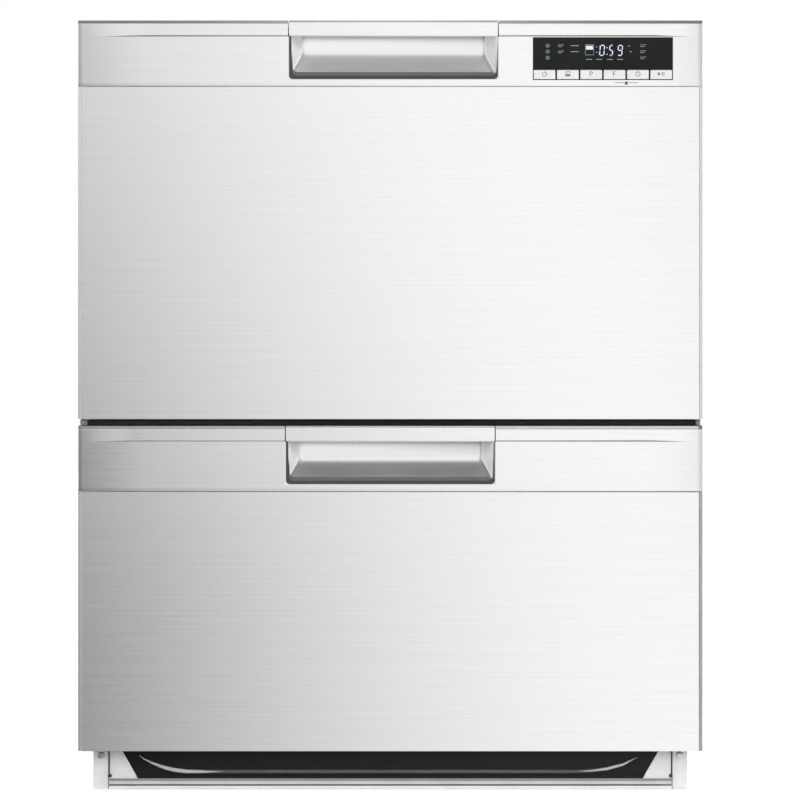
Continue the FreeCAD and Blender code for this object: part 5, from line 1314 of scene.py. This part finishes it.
gland = Shape()
bore = GLAND_BORE
gland.turned("Y", (-120.0, 64.0), [(bore, 251.6), (14.4, 251.6), (15.0, 252.2), (15.0, 262.0), (11.6, 262.0), (11.6, 278.4), (bore, 278.4)], 48, True)
gland.prism("Y", 263.1, 268.6, hexagon(-120.0, 64.0, 14.9))
fluted(gland, (-120.0, 64.0), [(11.5, 269.0), (12.0, 269.4), (12.0, 275.6), (10.6, 278.0), (9.2, 279.0), (bore + 1.6, 279.0), (bore + 1.6, 269.0)])
solid("mains_gland_body", gland, NODE_SLOTS["mains_gland"], "cabinet", ("mains_gland",), edge=0.25, turn=35)

barbs = [(9.2, 264.5), (9.2, 284.0), (9.7, 284.3)]
for step in range(4):
    y = 283.4 - 4.6 * step
    barbs += [(10.6, y - 2.6), (10.6, y - 3.2), (9.7, y - 3.6)]
solid("pump_outlet_barbs", Shape().turned("Y", (187.0, 57.0), barbs + [(9.7, 264.5)], 40, True), NODE_SLOTS["drain_pump"], "cabinet", turn=35)


# Ribs on the outside of the tubs, the cup shelf and the cutlery basket

for prefix, runs in (("upper", ((412.0, 508.0), (572.0, 676.0))), ("lower", ((88.0, 148.0), (212.0, 290.0)))):
    ribs = Shape()
    for sign in (-1, 1):
        for y in (-190.0, -95.0, 0.0, 95.0, 190.0):
            for run in runs:
                pressed_rib(ribs, "X", sign * 262.0, sign, (y - 3.5, y + 3.5), run, 3.0)
    for x in (-180.0, -60.0, 60.0, 180.0):
        pressed_rib(ribs, "Y", 233.0, 1, (x - 3.5, x + 3.5), (runs[0][0], runs[1][1]), 3.0)
    solid(prefix + "_tub_ribs", ribs, "tub_plastic", prefix + "_drawer", turn=40)

shelf = Shape()
y0, y1, z0, z1 = -117.0, 113.0, 568.1, 676.1
pitch = (y1 - y0 - 8.0) / 8
outer, inner = rounded_outline((y0, y1), (z0, z1), 7.0, 5), rounded_outline((y0 + 7.0, y1 - 7.0), (z0 + 7.5, z1 - 7.5), 4.0, 5)
rim = [(inner, -249.3), (inner, -246.7), (outer, -246.7), (outer, -249.3)]
shelf.skin([[(x, *pair) for pair in outline] for outline, x in rim], closed=True)
for number in range(1, 8):
    y = y0 + 4.0 + pitch * number
    shelf.box((-249.1, -246.9), (y - 2.6, y + 2.6), (z0 + 6.0, z1 - 6.0))
for z in (604.0, 640.0):
    shelf.box((-248.9, -247.1), (y0 + 6.0, y1 - 6.0), (z - 2.0, z + 2.0))
shelf.turned("Y", (-248.0, z0), [(1.6, -123.3), (2.0, -122.9), (2.0, 118.9), (1.6, 119.3)], 24)
solid("cup_shelf_frame", shelf, NODE_SLOTS["cup_shelf"], "cup_shelf", ("cup_shelf",), edge=0.6, segments=3, turn=40)

basket = Shape()
x0, x1, y0, y1, z0, z1 = 174.0, 246.0, -110.0, 106.0, 463.1, 559.1
for low, high, inset in ((z0, z0 + 8.0, 0.0), (z0 + 44.0, z0 + 49.0, 0.3), (z1 - 7.0, z1, 0.0)):
    bands = [((x0 + inset, x1 - inset), (y0 + inset, y1 - inset), 6.0, low), ((x0 + inset, x1 - inset), (y0 + inset, y1 - inset), 6.0, high),
             ((x0 + 2.2, x1 - 2.2), (y0 + 2.2, y1 - 2.2), 4.0, high), ((x0 + 2.2, x1 - 2.2), (y0 + 2.2, y1 - 2.2), 4.0, low)]
    basket.skin([[(x, y, z) for x, y in rounded_outline(a, b, radius, 5)] for a, b, radius, z in bands], closed=True)
for number in range(23):
    y = y0 + 9.0 + 9.0 * number
    for x in (x0 + 0.4, x1 - 2.0):
        basket.box((x, x + 1.6), (y - 1.1, y + 1.1), (z0 + 4.0, z1 - 4.0))
for number in range(7):
    x = x0 + 9.0 + 9.0 * number
    for y in (y0 + 0.4, y1 - 2.0):
        basket.box((x - 1.1, x + 1.1), (y, y + 1.6), (z0 + 4.0, z1 - 4.0))
for number in range(1, 3):
    y = y0 + 1.0 + (y1 - y0 - 2.0) / 3 * number
    basket.prism("Y", y - 1.0, y + 1.0, rounded_outline((x0 + 1.5, x1 - 1.5), (z0 + 1.5, z1 - 4.0), 3.0, 4))
for number in range(8):
    x = x0 + 4.5 + 9.0 * number
    basket.box((x - 1.2, x + 1.2), (y0 + 1.5, y1 - 1.5), (z0 + 0.3, z0 + 2.2))
for number in range(24):
    y = y0 + 4.5 + 9.0 * number
    basket.box((x0 + 1.5, x1 - 1.5), (y - 1.2, y + 1.2), (z0, z0 + 1.8))
solid("cutlery_basket_mesh", basket, NODE_SLOTS["cutlery_basket"], "upper_drawer", ("cutlery_basket",), edge=0.3, turn=40)


for name, width in (("upper_front_panel", 0.5), ("lower_front_panel", 0.9), ("upper_door_frame", 0.6), ("lower_door_frame", 0.6),
                    ("cabinet_wrapper", 0.3), ("rear_panel", 0.25), ("mid_shelf", 0.25), ("base_pan", 0.9),
                    ("front_base_rail", 0.4), ("drain_pump", 0.8), ("pump_impeller", 0.25),
                    ("lid_guides", 0.7), ("upper_lid", 1.6), ("lower_lid", 1.6),
                    ("upper_lid_seal", 1.0), ("lower_lid_seal", 1.0), ("upper_outer_rails", 0.35), ("lower_outer_rails", 0.35),
                    ("upper_middle_rails", 0.35), ("lower_middle_rails", 0.35), ("upper_inner_rails", 0.35),
                    ("lower_inner_rails", 0.35), ("upper_tub", 0.9), ("lower_tub", 0.9), ("upper_dispenser", 0.9), ("lower_dispenser", 0.9), ("upper_dispenser_flap", 0.6),
                    ("lower_dispenser_flap", 0.6), ("upper_rinse_cap", 0.7), ("lower_rinse_cap", 0.7), ("control_module", 1.0)):
    soften(name, width, 3 if width >= 0.9 else 2)

low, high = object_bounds()
